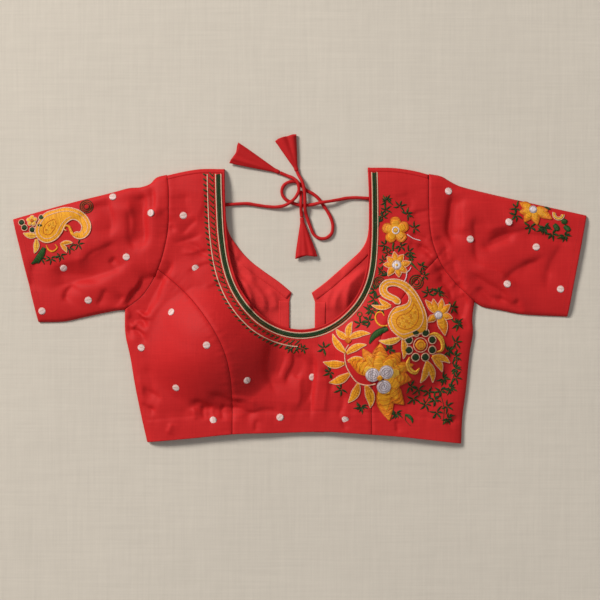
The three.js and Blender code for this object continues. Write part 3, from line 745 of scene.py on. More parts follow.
def piping():
    line = spaced(smooth(edge["neck"], 2.0), 2.0)
    half = trim["pipingWide"] / 2
    angles = np.linspace(0, 2 * math.pi, 11)[:-1]
    runs = lengthsOf(line)
    keep = (nearest(line, drawn["shoulderLeft"])[0] > 0.0) | (nearest(line, drawn["shoulderRight"])[0] > 0.0)
    inward = across(line)
    centre = line + inward * half
    x, y = centre.T
    middle = frontLow(x, y) + cloth["thick"] / 2
    swell = 1 + 0.035 * np.sin(runs / 3.1) + 0.03 * np.sin(runs / 7.7 + 1)
    section = np.stack([np.c_[centre + inward * (-math.cos(a) * half * 0.97), middle + math.sin(a) * 1.05 * swell]
                        for a in angles], axis=1)[keep]
    return loft("neck_piping_cord", section, cordCloth)


def flatTrim(name, line, wide, low):
    line = spaced(line, 2.5)
    inward = across(line)
    profile = ((0.3, 0.45), (0.6, 0.75), (1.6, 0.9), (wide / 2, 0.85), (wide - 1.4, 0.9), (wide - 0.4, 0.7), (wide, 0.4),
               (wide - 0.4, 0.12), (wide / 2, 0.1), (0.6, 0.12))
    section = []
    for into, up in profile:
        at = line + inward * into
        section.append(np.c_[at, low(*at.T) + up])
    return loft(name, np.stack(section, axis=1), innerCloth)


pieces["neck_piping"] = piping()
for side, neckName, cut in (("left", "backNeckLeft", centreBack["left"][1:]), ("right", "backNeckRight", centreBack["right"][:2])):
    neckLine = drawn[neckName]
    neckLine = neckLine[neckLine[:, 1] < trim["facingTop"]]
    middleLine = np.array(cut, float)
    clear = nearest(neckLine, middleLine)[0] > 1.0
    pieces["back_facing_" + side] = flatTrim("back_facing_" + side + "_cloth", neckLine[clear], trim["facingWide"],
                                             lambda x, y: backTop(x, y) + 0.25)
    pieces["placket_" + side] = flatTrim("placket_" + side + "_cloth", middleLine, trim["placketWide"],
                                         lambda x, y: backTop(x, y) + 0.3)

cord = {"diameter": 4.4, "lie": 2.4, "rise": 4.8, "sides": 12}
routes = {
    "dori_left": [(-100.6, 135.5, 0), (-85.5, 136.5, 0), (-70.5, 137, 0), (-57.5, 135, 0), (-45, 133.2, 0),
                  (-32, 132.4, 0.2), (-20, 134.5, 0.7), (-10.8, 140, 1), (-4.4, 147, 1), (-1.2, 154, 0.95),
                  (-1.4, 160, 1), (-3, 165.6, 1), (-8.4, 170.8, 0.75), (-17, 174.6, 0.1), (-26.5, 178.6, 0)],
    "dori_right": [(92.8, 144, 0), (78, 145, 0), (64.5, 144.5, 0), (51.5, 142, 0.4), (40.5, 140, 0.9), (29, 138.3, 1),
                   (18, 135.8, 0.45), (6.8, 134.8, 0), (-2.5, 135.5, 0), (-10.5, 138.5, 0), (-18, 142, 0),
                   (-23, 148, 0), (-24, 155.5, 0), (-21, 162, 0), (-14.5, 166, 0), (-7.5, 167, 0), (-2, 164.8, 0),
                   (3, 160.5, 0), (9.5, 154.5, 0), (18, 150, 0), (24.5, 144.5, 0), (30, 137, 0), (36, 128.5, 0),
                   (41.5, 118.5, 0), (44.5, 107, 0), (42.5, 96.5, 0), (35, 90.5, 0), (26, 90.5, 0), (19, 95.5, 0),
                   (14.8, 104.5, 0), (11.4, 114, 0), (8.7, 122, 0.1), (7.2, 129.5, 0.7), (7, 136, 1), (6.9, 143, 0.95),
                   (6.6, 149, 0.95), (6, 155.5, 1), (4.6, 162, 1), (2.2, 168.5, 0.8), (-1, 174.2, 0.3), (-3.6, 180, 0)],
    "dori_drop": [(1.3, 154.2, 0), (1.6, 148, 0.3), (1.6, 141.5, 0.9), (1.6, 135, 1), (1.8, 128.5, 0.4),
                  (2.2, 123.5, 0), (2.7, 119, 0)],
}
tassels = {
    "tassel_upper_left": {"onCord": "dori_left", "mouth": (-87.5, 205), "pleats": 3, "skew": 0.10},
    "tassel_upper": {"onCord": "dori_right", "mouth": (-19, 226), "pleats": 3, "skew": -0.08},
    "tassel_lower": {"onCord": "dori_drop", "mouth": (8.5, 65.5), "pleats": 4, "skew": 0.12},
}


def cordTube(name):
    line = smooth([(x, y, cord["lie"] + level * cord["rise"]) for x, y, level in routes[name]], 1.2)
    ahead = np.gradient(line, axis=0)
    ahead /= np.linalg.norm(ahead, axis=1)[:, None]
    side = np.cross(ahead, (0, 0, 1.0))
    side /= np.linalg.norm(side, axis=1)[:, None]
    up = np.cross(side, ahead)
    run = lengthsOf(line)
    radius = cord["diameter"] / 2 * (1 + 0.03 * np.sin(run / 2.3) + 0.03 * np.sin(run / 5.9 + 2))
    angles = np.linspace(0, 2 * math.pi, cord["sides"] + 1)[:-1]
    section = np.stack([line + radius[:, None] * (side * math.cos(a) + up * math.sin(a) * 0.97) for a in angles], axis=1)
    return loft(name + "_cord", section, cordCloth), line


# A flattened cone of folded cloth: pleats open towards its mouth, and the mouth is hollow.
def clothTassel(name, onCord, mouth, pleats, skew):
    start = np.array(routes[onCord][-1][:2])
    ahead = np.array(mouth) - start
    long = np.linalg.norm(ahead) - 0.6
    ahead = ahead / np.linalg.norm(ahead)
    side = np.array([-ahead[1], ahead[0]])
    start = start + ahead * 0.6
    at = np.r_[np.linspace(0, 1, 30), np.linspace(1, 0.42, 18)]
    wide = np.interp(at, (0, 0.02, 0.08, 0.12, 0.35, 0.68, 1), (4.4, 5.6, 5.9, 5.6, 12.2, 21.3, 29.5))
    high = np.interp(at, (0, 0.02, 0.08, 0.12, 0.35, 0.68, 1), (4.2, 5.0, 5.0, 4.8, 6.3, 7.7, 8.6))
    inner = np.r_[np.zeros(30), np.ones(18)]
    turn = np.linspace(0, 2 * math.pi, 49)[:-1]
    rings = []
    for k, (t, w, h, inside) in enumerate(zip(at, wide, high, inner)):
        open_ = max(0.0, t - 0.15) / 0.85
        pleat = 0.10 * open_ * np.sin(pleats * 2 * turn + 0.8 + 4 * skew) + 0.05 * open_ * np.sin(5 * turn + 2)
        pinch = 1 - 0.42 * open_ * np.exp(-((np.cos(turn) - skew * 2) / 0.23)**2) * (np.sin(turn) > 0)
        shrink = 1.1 * inside
        out = (w / 2 - shrink) * np.cos(turn) * (1 + pleat * 0.35)
        up = np.clip(h / 2 + (h / 2 - shrink) * np.sin(turn) * (1 + pleat) * pinch, 0.05 + 0.9 * inside, None)
        lip = 1.6 * open_**3 * np.sin(2 * turn + 9 * skew)
        along = t * long + np.minimum(lip, long * (1 - t) + 1.2) * (t > 0.9)
        flat = start + ahead * np.reshape(along, (-1, 1)) + side * out[:, None]
        rings.append(np.c_[flat, up])
    return loft(name + "_cloth", np.array(rings), cordCloth)


cordLines = {}
for name in routes:
    pieces[name], cordLines[name] = cordTube(name)
for name, row in tassels.items():
    pieces[name] = clothTassel(name, **row)
print("cords and tassels made")


def makeStitchTree():
    tree, given, out = newTree("stitchRun", "GeometryNodeTree", [
        ("Geometry", "NodeSocketGeometry", None), ("Spacing", "NodeSocketFloat", 0.002),
        ("Long", "NodeSocketFloat", 0.002), ("Wide", "NodeSocketFloat", 0.001), ("High", "NodeSocketFloat", 0.0006),
        ("Slant", "NodeSocketFloat", 0.0), ("Uneven", "NodeSocketFloat", 0.12), ("Seed", "NodeSocketInt", 1),
        ("Material", "NodeSocketMaterial", None)], [("Geometry", "NodeSocketGeometry")])
    curve = put(tree, "GeometryNodeMeshToCurve", {"Mesh": given["Geometry"]}).outputs[0]
    steps = put(tree, "GeometryNodeResampleCurve", {"Curve": curve, "Length": given["Spacing"]}, mode="LENGTH")
    ball = put(tree, "GeometryNodeMeshUVSphere", {"Segments": 6, "Rings": 4, "Radius": 0.5})
    lined = put(tree, "ShaderNodeVectorMath", {0: ball.outputs["UV Map"], 1: (0.25, 0.06, 1)}, operation="MULTIPLY")
    stored = put(tree, "GeometryNodeStoreNamedAttribute",
                 {"Geometry": ball.outputs["Mesh"], "Name": "UVMap"}, data_type="FLOAT2", domain="CORNER")
    tree.links.new(lined.outputs[0], stored.inputs["Value"])
    smoothed = put(tree, "GeometryNodeSetShadeSmooth", {"Geometry": stored.outputs[0]}).outputs[0]

    def chance(seedShift):
        low = maths(tree, "SUBTRACT", 0.0, given["Uneven"])
        seed = maths(tree, "ADD", given["Seed"], seedShift)
        node = put(tree, "FunctionNodeRandomValue", {"Seed": seed}, data_type="FLOAT")
        tree.links.new(low, node.inputs[2])
        tree.links.new(given["Uneven"], node.inputs[3])
        return node.outputs[1]

    tangent = put(tree, "GeometryNodeInputTangent").outputs[0]
    level = put(tree, "FunctionNodeAlignRotationToVector", {"Vector": tangent}, axis="X", pivot_axis="Z").outputs[0]
    slope = put(tree, "FunctionNodeAlignRotationToVector", {"Rotation": level, "Vector": tangent}, axis="X",
                pivot_axis="Y").outputs[0]
    lean = maths(tree, "ADD", given["Slant"], chance(11))
    turn = put(tree, "FunctionNodeEulerToRotation", {0: put(tree, "ShaderNodeCombineXYZ", {2: lean}).outputs[0]})
    facing = put(tree, "FunctionNodeRotateRotation", {"Rotation": slope, "Rotate By": turn.outputs[0]},
                 rotation_space="LOCAL").outputs[0]
    longer = maths(tree, "MULTIPLY", given["Long"], maths(tree, "ADD", chance(23), 1.0))
    size = put(tree, "ShaderNodeCombineXYZ", {0: longer, 1: given["Wide"], 2: given["High"]}).outputs[0]
    laid = put(tree, "GeometryNodeInstanceOnPoints", {"Points": steps.outputs[0], "Instance": smoothed,
               "Rotation": facing, "Scale": size}).outputs[0]
    real = put(tree, "GeometryNodeRealizeInstances", {"Geometry": laid}).outputs[0]
    done = put(tree, "GeometryNodeSetMaterial", {"Geometry": real, "Material": given["Material"]}).outputs[0]
    tree.links.new(done, out["Geometry"])
    return tree


# One worked spot: eleven satin stitches side by side, filling a round, turned a different way at each place.
def makeDotTree():
    tree, given, out = newTree("polkaDots", "GeometryNodeTree", [
        ("Geometry", "NodeSocketGeometry", None), ("Across", "NodeSocketFloat", 0.0107),
        ("High", "NodeSocketFloat", 0.0014), ("Seed", "NodeSocketInt", 5), ("Material", "NodeSocketMaterial", None)],
        [("Geometry", "NodeSocketGeometry")])
    ball = put(tree, "GeometryNodeMeshUVSphere", {"Segments": 7, "Rings": 4, "Radius": 0.5})
    lined = put(tree, "ShaderNodeVectorMath", {0: ball.outputs["UV Map"], 1: (0.25, 0.06, 1)}, operation="MULTIPLY")
    stored = put(tree, "GeometryNodeStoreNamedAttribute", {"Geometry": ball.outputs["Mesh"], "Name": "UVMap"},
                 data_type="FLOAT2", domain="CORNER")
    tree.links.new(lined.outputs[0], stored.inputs["Value"])
    smoothed = put(tree, "GeometryNodeSetShadeSmooth", {"Geometry": stored.outputs[0]}).outputs[0]
    count = 11
    row = put(tree, "GeometryNodeMeshLine", {"Count": count, "Start Location": (0, -0.43, 0),
              "Offset": (0, 0.86 / (count - 1), 0)}).outputs[0]
    place = put(tree, "ShaderNodeSeparateXYZ", {0: put(tree, "GeometryNodeInputPosition").outputs[0]}).outputs[1]
    chord = maths(tree, "SQRT", maths(tree, "SUBTRACT", 1.0, maths(tree, "POWER", maths(tree, "MULTIPLY", place, 2.06), 2.0)))
    ragged = put(tree, "FunctionNodeRandomValue", {"Seed": given["Seed"]}, data_type="FLOAT")
    ragged.inputs[2].default_value, ragged.inputs[3].default_value = 1.02, 1.24
    size = put(tree, "ShaderNodeCombineXYZ", {0: maths(tree, "MULTIPLY", chord, ragged.outputs[1]), 1: 0.15,
               2: maths(tree, "MULTIPLY", chord, 0.17)}).outputs[0]
    spot = put(tree, "GeometryNodeInstanceOnPoints", {"Points": row, "Instance": smoothed, "Scale": size}).outputs[0]
    whole = put(tree, "GeometryNodeRealizeInstances", {"Geometry": spot}).outputs[0]
    wayUp = put(tree, "GeometryNodeInputNamedAttribute", {"Name": "wayUp"}, data_type="FLOAT_VECTOR").outputs[0]
    tilt = put(tree, "FunctionNodeAlignRotationToVector", {"Vector": wayUp}, axis="Z").outputs[0]
    spin = put(tree, "FunctionNodeRandomValue", {"Seed": given["Seed"]}, data_type="FLOAT")
    spin.inputs[3].default_value = 3.1
    turn = put(tree, "FunctionNodeEulerToRotation", {0: put(tree, "ShaderNodeCombineXYZ", {2: spin.outputs[1]}).outputs[0]})
    facing = put(tree, "FunctionNodeRotateRotation", {"Rotation": tilt, "Rotate By": turn.outputs[0]},
                 rotation_space="LOCAL").outputs[0]
    laid = put(tree, "GeometryNodeInstanceOnPoints", {"Points": given["Geometry"], "Instance": whole,
               "Rotation": facing, "Scale": given["Across"]}).outputs[0]
    real = put(tree, "GeometryNodeRealizeInstances", {"Geometry": laid}).outputs[0]
    done = put(tree, "GeometryNodeSetMaterial", {"Geometry": real, "Material": given["Material"]}).outputs[0]
    tree.links.new(done, out["Geometry"])
    return tree


stitchTree = makeStitchTree()
dotTree = makeDotTree()


def grown(name, tree, points, edges, values, attribute=None):
    mesh = bpy.data.meshes.new(name)
    mesh.from_pydata((np.asarray(points) * mm).tolist(), edges, [])
    if attribute is not None:
        mesh.attributes.new("wayUp", "FLOAT_VECTOR", "POINT").data.foreach_set("vector", attribute.ravel())
    holder = bpy.data.objects.new(name, mesh)
    scene.collection.objects.link(holder)
    modifier = holder.modifiers.new("made", "NODES")
    modifier.node_group = tree
    for item in tree.interface.items_tree:
        if item.item_type == "SOCKET" and item.in_out == "INPUT" and item.name in values:
            modifier[item.identifier] = values[item.name]
    view = bpy.context.evaluated_depsgraph_get()
    view.update()
    made = bpy.data.meshes.new_from_object(holder.evaluated_get(view))
    holder.modifiers.clear()
    holder.data = made
    made.name = name
    return holder


def stitches(name, line, above, material, step, long, wide, high=0.7, slant=0.0, uneven=0.1, seed=1, surface=None):
    x, y = line[:, 0], line[:, 1]
    z = (surface or frontTop)(x, y) + above
    points = np.c_[line[:, :2], z]
    values = {"Spacing": step * mm, "Long": long * mm, "Wide": wide * mm, "High": high * mm,
              "Slant": math.radians(slant), "Uneven": uneven, "Seed": seed, "Material": material}
    return grown(name, stitchTree, points, [(i, i + 1) for i in range(len(points) - 1)], values)


threads = {
    "marigold": (0.86, 0.38, 0.016), "amber": (0.60, 0.15, 0.008), "lemon": (0.88, 0.50, 0.050),
    "orange": (0.84, 0.25, 0.010),
    "blush": (0.82, 0.50, 0.34), "white": (0.78, 0.72, 0.78), "silver": (0.46, 0.40, 0.46),
    "leaf": (0.024, 0.088, 0.012), "forest": (0.012, 0.046, 0.009), "cream": (0.74, 0.58, 0.42),
    "red": (0.50, 0.020, 0.022), "spot": (0.80, 0.62, 0.60),
}
creamThread = threadMaterial("creamThread", 0.5, 0.10, threads["cream"])
greenThread = threadMaterial("greenThread", 0.5, 0.10, threads["forest"])
leafThread = threadMaterial("leafThread", 0.5, 0.10, threads["leaf"])
spotThread = threadMaterial("spotThread", 0.5, 0.12, threads["spot"])
redThread = threadMaterial("redThread", 0.5, 0.08, threads["red"])
# Painted shade: a near-black red thread, darker than the cloth, that draws the shadow in the gap of each seam.
seamShadeThread = threadMaterial("seamShadeThread", 0.5, 0.05, (0.13, 0.004, 0.006))

neckFine = smooth(edge["neck"], 1.5)
neckEnds = (nearest(neckFine, drawn["shoulderLeft"])[0] > 6.5) & (nearest(neckFine, drawn["shoulderRight"])[0] > 6.5)


def alongNeck(distance, until=None):
    line = moved(neckFine, distance)[neckEnds]
    return line if until is None else line[(line[:, 0] < until[0]) & ((line[:, 0] < 0) | (line[:, 1] < 0))]


leftOnly = (-3, 0)
trims = [
    stitches("rope_inner", alongNeck(4.9), 0.45, creamThread, 1.25, 2.5, 1.15, 1.1, 32, seed=2),
    stitches("band_green_a", alongNeck(7.0), 0.35, greenThread, 0.8, 3.6, 1.0, 1.0, 62, seed=3),
    stitches("band_green_b", alongNeck(9.6), 0.35, greenThread, 0.8, 3.6, 1.0, 1.0, -62, seed=4),
    stitches("rope_outer", alongNeck(12.0), 0.45, creamThread, 1.3, 2.5, 1.15, 1.1, 32, seed=5),
    stitches("rope_far", alongNeck(23.2, leftOnly), 0.40, creamThread, 1.35, 2.5, 1.15, 1.1, 32, seed=6),
    stitches("lattice_a", alongNeck(17.8, leftOnly), 0.3, greenThread, 7.2, 11.5, 1.9, 0.8, 46, 0.04, 7),
    stitches("lattice_b", alongNeck(15.6, leftOnly), 0.3, leafThread, 7.2, 5.0, 1.2, 0.7, -30, 0.1, 8),
    stitches("leaf_tips", alongNeck(26.6, leftOnly), 0.3, greenThread, 7.2, 7.0, 2.7, 0.9, 52, 0.22, 9),
]
for name, shift, surface in (("left", -0.7, None), ("right", 0.7, None)):
    cuff = drawn["sleeve_" + name + "Cuff"]
    line = spaced(cuff, 2.0)[3:-3]
    inward = across(line)
    if nearest(line[:1] + inward[:1] * 20, drawn["sleeveTop" + name.capitalize()])[1][0] < 0 or abs((line[0] + inward[0] * 8)[0]) > abs(line[0][0]):
        inward = -inward
    trims.append(stitches("cuff_stitches_" + name, line + inward * 8, 0.05, redThread, 2.6, 1.9, 0.5, 0.45, seed=12))
hemRun = np.array([(-204, -153.5), (-150, -149), (-100, -144.5), (-30, -143), (40, -142), (100, -144), (150, -148), (212, -156)])
trims.append(stitches("hem_stitches", smooth(hemRun, 3), 0.05, redThread, 2.7, 2.0, 0.5, 0.45, seed=14))
# Painted shade: the dark thread is sunk into each seam groove so that it reads as the seam's shadow line.
for name in ("princessLeft", "princessRight", "armholeLeft", "armholeRight"):
    line = spaced(drawn[name], 1.5)[2:-3]
    if name.startswith("princess"):
        line = line[insideOf(line, frontOutline)][1:-1]
    trims.append(stitches("seam_" + name, line, -0.35, seamShadeThread, 2.2, 2.6, 0.75, 0.9, seed=17))
insideTop = lambda x, y: backTop(x, y) + 1.1
insideStitches = []
for side, name in (("left", "backNeckLeft"), ("right", "backNeckRight")):
    line = drawn[name][drawn[name][:, 1] < 126]
    insideStitches.append(stitches("facing_stitches_" + side, moved(line, trim["facingWide"] - 1.6), 0.1, redThread, 2.4,
                                   1.8, 0.5, 0.4, seed=15, surface=insideTop))
    middleLine = spaced(centreBack[side][1:] if side == "left" else centreBack[side][:2], 3)
    insideStitches.append(stitches("placket_stitches_" + side, moved(middleLine, trim["placketWide"] - 1.8), 0.1,
                                   redThread, 2.4, 1.8, 0.5, 0.4, seed=16, surface=insideTop))

spots = np.array([(-251, 146), (-199.5, 124), (-232.5, 65), (-317, 50), (-283.5, 7), (-346, -7.5), (-156, 120.5),
                  (-139.5, 50), (-171.5, -8.5), (-122.5, -52), (-212.5, -56.5), (-70, -99.5), (-165.5, -110),
                  (-116, -153.5), (-26.5, -150), (17, -96.5), (60.5, -153), (199.5, 153.5), (228.5, 89), (280, 112),
                  (317, 78.5), (277.5, 29), (350, 22)], float)


def normalsAt(points):
    x, y = points.T
    h = 1.5
    slope = np.c_[frontTop(x - h, y) - frontTop(x + h, y), frontTop(x, y - h) - frontTop(x, y + h),
                  np.full(len(x), 2 * h)]
    return slope / np.linalg.norm(slope, axis=1)[:, None]


trims.append(grown("polka_dots", dotTree, np.c_[spots, frontTop(*spots.T) + 0.15], [],
                   {"Across": 9.6 * mm, "Seed": 5, "Material": spotThread}, normalsAt(spots)))
print("stitches and spots worked")


def newWork():
    return {"points": [], "faces": [], "colours": [], "uvs": [], "count": 0}


def lay(work, xy, up, colour, uv, faces):
    start = work["count"]
    work["points"].append(np.c_[xy, up])
    work["colours"].append(np.broadcast_to(colour, (len(xy), 3)))
    work["uvs"].append(uv)
    work["faces"].extend(tuple(i + start for i in f) for f in faces)
    work["count"] += len(xy)


# A satin-stitched stroke: a low dome along a line, with its width given from start to end.
def stroke(work, points, widths, colour, level=0, high=0.8, step=1.3, along=False):
    line = smooth(points, step) if len(points) > 2 else spaced(points, step)
    run = lengthsOf(line)
    t = run / run[-1]
    wide = np.interp(t, np.linspace(0, 1, len(widths)), widths)
    count = max(5, int(max(widths) / 2.6) + 4)
    places = np.sin(np.linspace(-math.pi / 2, math.pi / 2, count))
    side = across(line)
    rim = 0.2 + 0.3 * level
    height = high * np.clip(wide / 3.0, 0.45, 1.0)
    rows = [line + side * (wide / 2)[:, None] * p for p in places]
    ups = [rim + height * math.sqrt(max(0.0, 1 - p**4)) for p in places]
    ups[0], ups[-1] = np.full(len(line), rim - 0.25), np.full(len(line), rim - 0.25)
    rows.append(line)
    ups.append(np.full(len(line), rim - 0.6))
    n, m = len(line), count + 1
    xy = np.stack(rows, axis=1).reshape(-1, 2)
    up = np.stack(ups, axis=1).reshape(-1)
    u = np.repeat(run + 13 * len(work["faces"]) % 97, m)
    v = (np.r_[places, 0][None, :] * wide[:, None] / 2).reshape(-1)
    faces = [(r * m + k, r * m + (k + 1) % m, (r + 1) * m + (k + 1) % m, (r + 1) * m + k)
             for r in range(n - 1) for k in range(m)]
    faces += [tuple(range(m))[::-1], tuple((n - 1) * m + k for k in range(m))]
    lay(work, xy, up, colour, np.c_[v, u] if along else np.c_[u, v], [f[::-1] for f in faces])


def polar(centre, radius, degrees):
    a = math.radians(degrees)
    return centre[0] + radius * math.cos(a), centre[1] + radius * math.sin(a)


def between(a, b, share, bow=0.0):
    dx, dy = b[0] - a[0], b[1] - a[1]
    return a[0] + dx * share - dy * bow, a[1] + dy * share + dx * bow


leafShape = (0.5, 0.74, 0.95, 1.0, 0.93, 0.72, 0.42, 0.08)
petalShape = (0.30, 0.55, 0.80, 0.96, 1.0, 0.94, 0.74, 0.34)
pointedShape = (0.34, 0.62, 0.88, 1.0, 0.94, 0.72, 0.42, 0.06)


# A petal or leaf from base to tip, with an outline of another colour and a vein or two down its middle.
def petal(work, base, tip, wide, colour, outline=None, vein=None, shape=petalShape, bow=0.0, level=1, heart=None):
    spine = [base, between(base, tip, 0.33, bow * 0.8), between(base, tip, 0.68, bow * 0.9), tip]
    widths = [wide * s for s in shape]
    stroke(work, spine, widths, colour, level)
    if heart is not None:  # a paler middle, worked over the foot of the petal
        near = [base, between(base, tip, 0.28, bow * 0.8), between(base, tip, 0.56, bow * 0.9), between(base, tip, 0.74, bow)]
        stroke(work, near, [0.8 * wide * s for s in shape], heart, level + 1.4, 0.75)
    line = smooth(spine, 1.6)
    t = np.linspace(0, 1, len(line))
    half = np.interp(t, np.linspace(0, 1, len(widths)), widths)[:, None] / 2
    side = across(line)
    if outline is not None:
        rim = np.vstack([line + side * half, (line - side * half)[::-1]])
        stroke(work, rim, [0.9, 1.15, 1.0, 1.15, 0.9], outline, level + 1.2, 0.55)
    if vein is not None and wide > 18:  # broad petals are worked in rows across
        for share in (0.4, 0.54, 0.68, 0.81):
            i, ahead = int(share * (len(line) - 1)), min(len(line) - 1, int((share + 0.07) * (len(line) - 1)))
            row = [line[i] - side[i] * half[i] * 0.84, line[ahead], line[i] + side[i] * half[i] * 0.84]
            stroke(work, row, [0.6, 0.9, 0.6], vein, level + (2.5 if heart is None else 3.6), 0.45)
    elif vein is not None:
        for shift in ((0,) if wide < 10 else (-0.24, 0.0, 0.24)):
            run = (line + side * half * 2 * shift)[1:int(len(line) * (0.78 - abs(shift)))]
            if len(run) > 2:
                stroke(work, run, [0.9, 0.9, 0.5], vein, level + (2.5 if heart is None else 3.6), 0.5)


def leaf(work, base, tip, wide=4.4, colour=threads["leaf"], bow=0.08, level=0):
    petal(work, base, tip, wide, colour, shape=leafShape, bow=bow, level=level)


def disc(work, centre, radius, colour, level=1, high=1.0):
    x, y = centre
    widths = [radius * 2 * math.sqrt(max(0.03, 1 - p * p)) for p in (-0.99, -0.85, -0.6, -0.3, 0, 0.3, 0.6, 0.85, 0.99)]
    stroke(work, [(x - radius, y), (x, y), (x + radius, y)], widths, colour, level, high, step=max(0.5, radius / 8))


def ring(work, centre, radius, wide, colour, level=1, high=0.8, turned=0):
    stroke(work, [polar(centre, radius, turned + a) for a in range(0, 361, 20)], [wide, wide], colour, level, high, 0.9)


# Small sprigs of seed-shaped leaves around a point.
def sprig(work, centre, turn, count=4, long=6.5, wide=3.0, colour=threads["leaf"]):
    count, long, wide = count + 6, long * 1.3, wide * 0.8
    for k in range(count):
        angle = turn + (k - (count - 1) / 2) * 30 + 14 * math.sin(3.1 * k + centre[0])
        base = polar(centre, 1.0 + 1.6 * (k % 2), angle)
        tip = polar(centre, long * (0.95 + 0.25 * math.sin(2.3 * k + centre[1])), angle)
        leaf(work, base, tip, wide, colour if k % 4 == 1 else threads["forest"])


def flower(work, centre, tips, wide, colour=threads["marigold"], outline=threads["blush"], vein=threads["amber"],
           inner=2.0, shape=petalShape, level=1, heart=None):
    for k, tip in enumerate(tips):
        petal(work, between(centre, tip, inner / max(1.0, math.dist(centre, tip))), tip, wide, colour, outline, vein, shape,
              0.05 * math.sin(k * 2.1), level + (k % 2) * 0.35, heart)


# A closed shape filled with long stitches: flat triangles, rounded down at its rim.
def patch(work, outline, colour, level=1, high=1.0, grain=(1.0, 0.3)):
    flat, triangles = flatMesh(smooth(list(outline) + [outline[0]], 1.6)[:-1], step=2.2, rows=(0.5, 1.2))
    flat, triangles = tidy(flat, triangles)
    border = borderOf(triangles)
    rim = np.array([flat[a] for a, _ in border])
    closed = np.array([(a[0], a[1]) for a in rim])
    dist = np.min(np.linalg.norm(flat[:, None] - closed[None], axis=2), axis=1)
    up = 0.2 + 0.3 * level + high * np.sqrt(np.clip(dist / 1.5, 0, 1)) - 0.25 * (dist < 0.05)
    n = len(flat)
    g = np.array(grain) / math.hypot(*grain)
    u, v = flat @ g, flat @ np.array((-g[1], g[0]))
    faces = [tuple(t) for t in triangles] + [tuple(t[::-1] + n) for t in triangles]
    faces += [(b, a, a + n, b + n) for a, b in border]
    lay(work, np.vstack([flat, flat]), np.r_[up, np.full(n, -0.4)], colour, np.tile(np.c_[u, v], (2, 1)), faces)


def finishWork(name, work):
    points = np.vstack(work["points"])
    points[:, 2] += frontTop(points[:, 0], points[:, 1])
    colours = np.vstack(work["colours"])
    made = addPiece(name, points, work["faces"], embroidery, True, np.vstack(work["uvs"]), colours)
    print("embroidery:", name, len(work["faces"]), "faces")
    return made


gold, amber, orange, lemon, blush = (threads[k] for k in ("marigold", "amber", "orange", "lemon", "blush"))
white, silver, green, forest = (threads[k] for k in ("white", "silver", "leaf", "forest"))


def topFlower(work, centre=(128.4, 100.6)):
    tips = [polar(centre, 17.5, a) for a in (92, 22, -46, -126, 162)]
    flower(work, centre, tips, 13.5, orange, amber, None, shape=(0.34, 0.62, 0.86, 1.0, 1.0, 0.98, 0.86, 0.5), heart=gold)
    ring(work, centre, 4.2, 2.2, white, 4.5)
    disc(work, centre, 2.9, lemon, 4.5)
    stroke(work, [(125.8, 84), (124.6, 79), (125, 73)], [2.6, 2.6, 2.0], green)
    stroke(work, [(143.7, 95.3), (152, 90), (162, 87)], [1.2, 1.2], white)
    for at, turn, count in (((115, 128), 95, 4), ((116.5, 140), 90, 3), ((134, 133), 70, 4), ((144, 122), 40, 3),
                            ((153, 104), 10, 3), ((114, 81), 190, 4), ((134.5, 79.7), 300, 3), ((146, 72), 320, 3),
                            ((106, 112), 150, 3), ((112, 118), 120, 3)):
        sprig(work, at, turn, count)
    stroke(work, [(114.5, 121), (115, 132), (115.5, 147)], [1.0, 1.0, 0.8], forest)


def secondFlower(work, centre=(129.5, 54.3)):
    tips = [polar(centre, r, a) for r, a in ((18, 100), (17, 55), (20, 12), (18, -36), (17, -80), (19, -128), (18, 178),
                                             (17, 138))]
    flower(work, centre, tips, 9.2, orange, blush, None, shape=pointedShape, heart=gold)
    disc(work, centre, 5.6, white, 4)
    ring(work, centre, 5.9, 1.2, silver, 4.4)
    disc(work, centre, 2.0, lemon, 6.4)
    stroke(work, [(134.3, 50), (142.4, 44.9), (142, 37), (139.2, 31.5)], [1.4, 1.5, 1.2], white, 2.6)
    stroke(work, [(142.4, 45), (146, 46.5), (149, 51.6)], [1.2, 1.0], white, 2.6)
    stroke(work, [(146.4, 62.3), (149, 57), (151.8, 54.3), (156.5, 49), (161.2, 44.9)], [3.6, 3.4, 2.6, 1.4, 0.6], green)
    leaf(work, (119, 44), (107, 40), 4.6, forest)
    for centre2, radius in (((155.8, 31.5), 10.2), ((106.2, 31.5), 7.8)):
        for share, colour in ((1.0, forest), (0.72, green), (0.44, forest)):
            ring(work, centre2, radius * share - 1, 1.3, colour, 0.6)
    ring(work, (79.4, -11.4), 3.0, 1.2, green)
    for at, turn in (((112, 60), 170), ((148, 64), 30), ((110, 47), 200), ((163, 52), 20), ((118, 70), 120), ((166, 40), 0)):
        sprig(work, at, turn, 3, 5.5, 2.6)


# Looped beads of two yellows, close together inside an outline.
def beads(work, outline, apart, radius):
    line = np.asarray(outline, float)
    low, high = line.min(0), line.max(0)
    for i, y in enumerate(np.arange(low[1], high[1], apart * 0.86)):
        for j, x in enumerate(np.arange(low[0] + (i % 2) * apart / 2, high[0], apart)):
            at = (x + 0.7 * math.sin(3.7 * i + 1.9 * j), y + 0.7 * math.sin(2.3 * j + 5.1 * i))
            if insideOf(np.array([at]), line)[0] and nearest(np.array([at]), line)[0][0] > radius + 0.6:
                ring(work, at, radius, 0.9, lemon if (i + j) % 3 else amber, 4.2, 0.55)


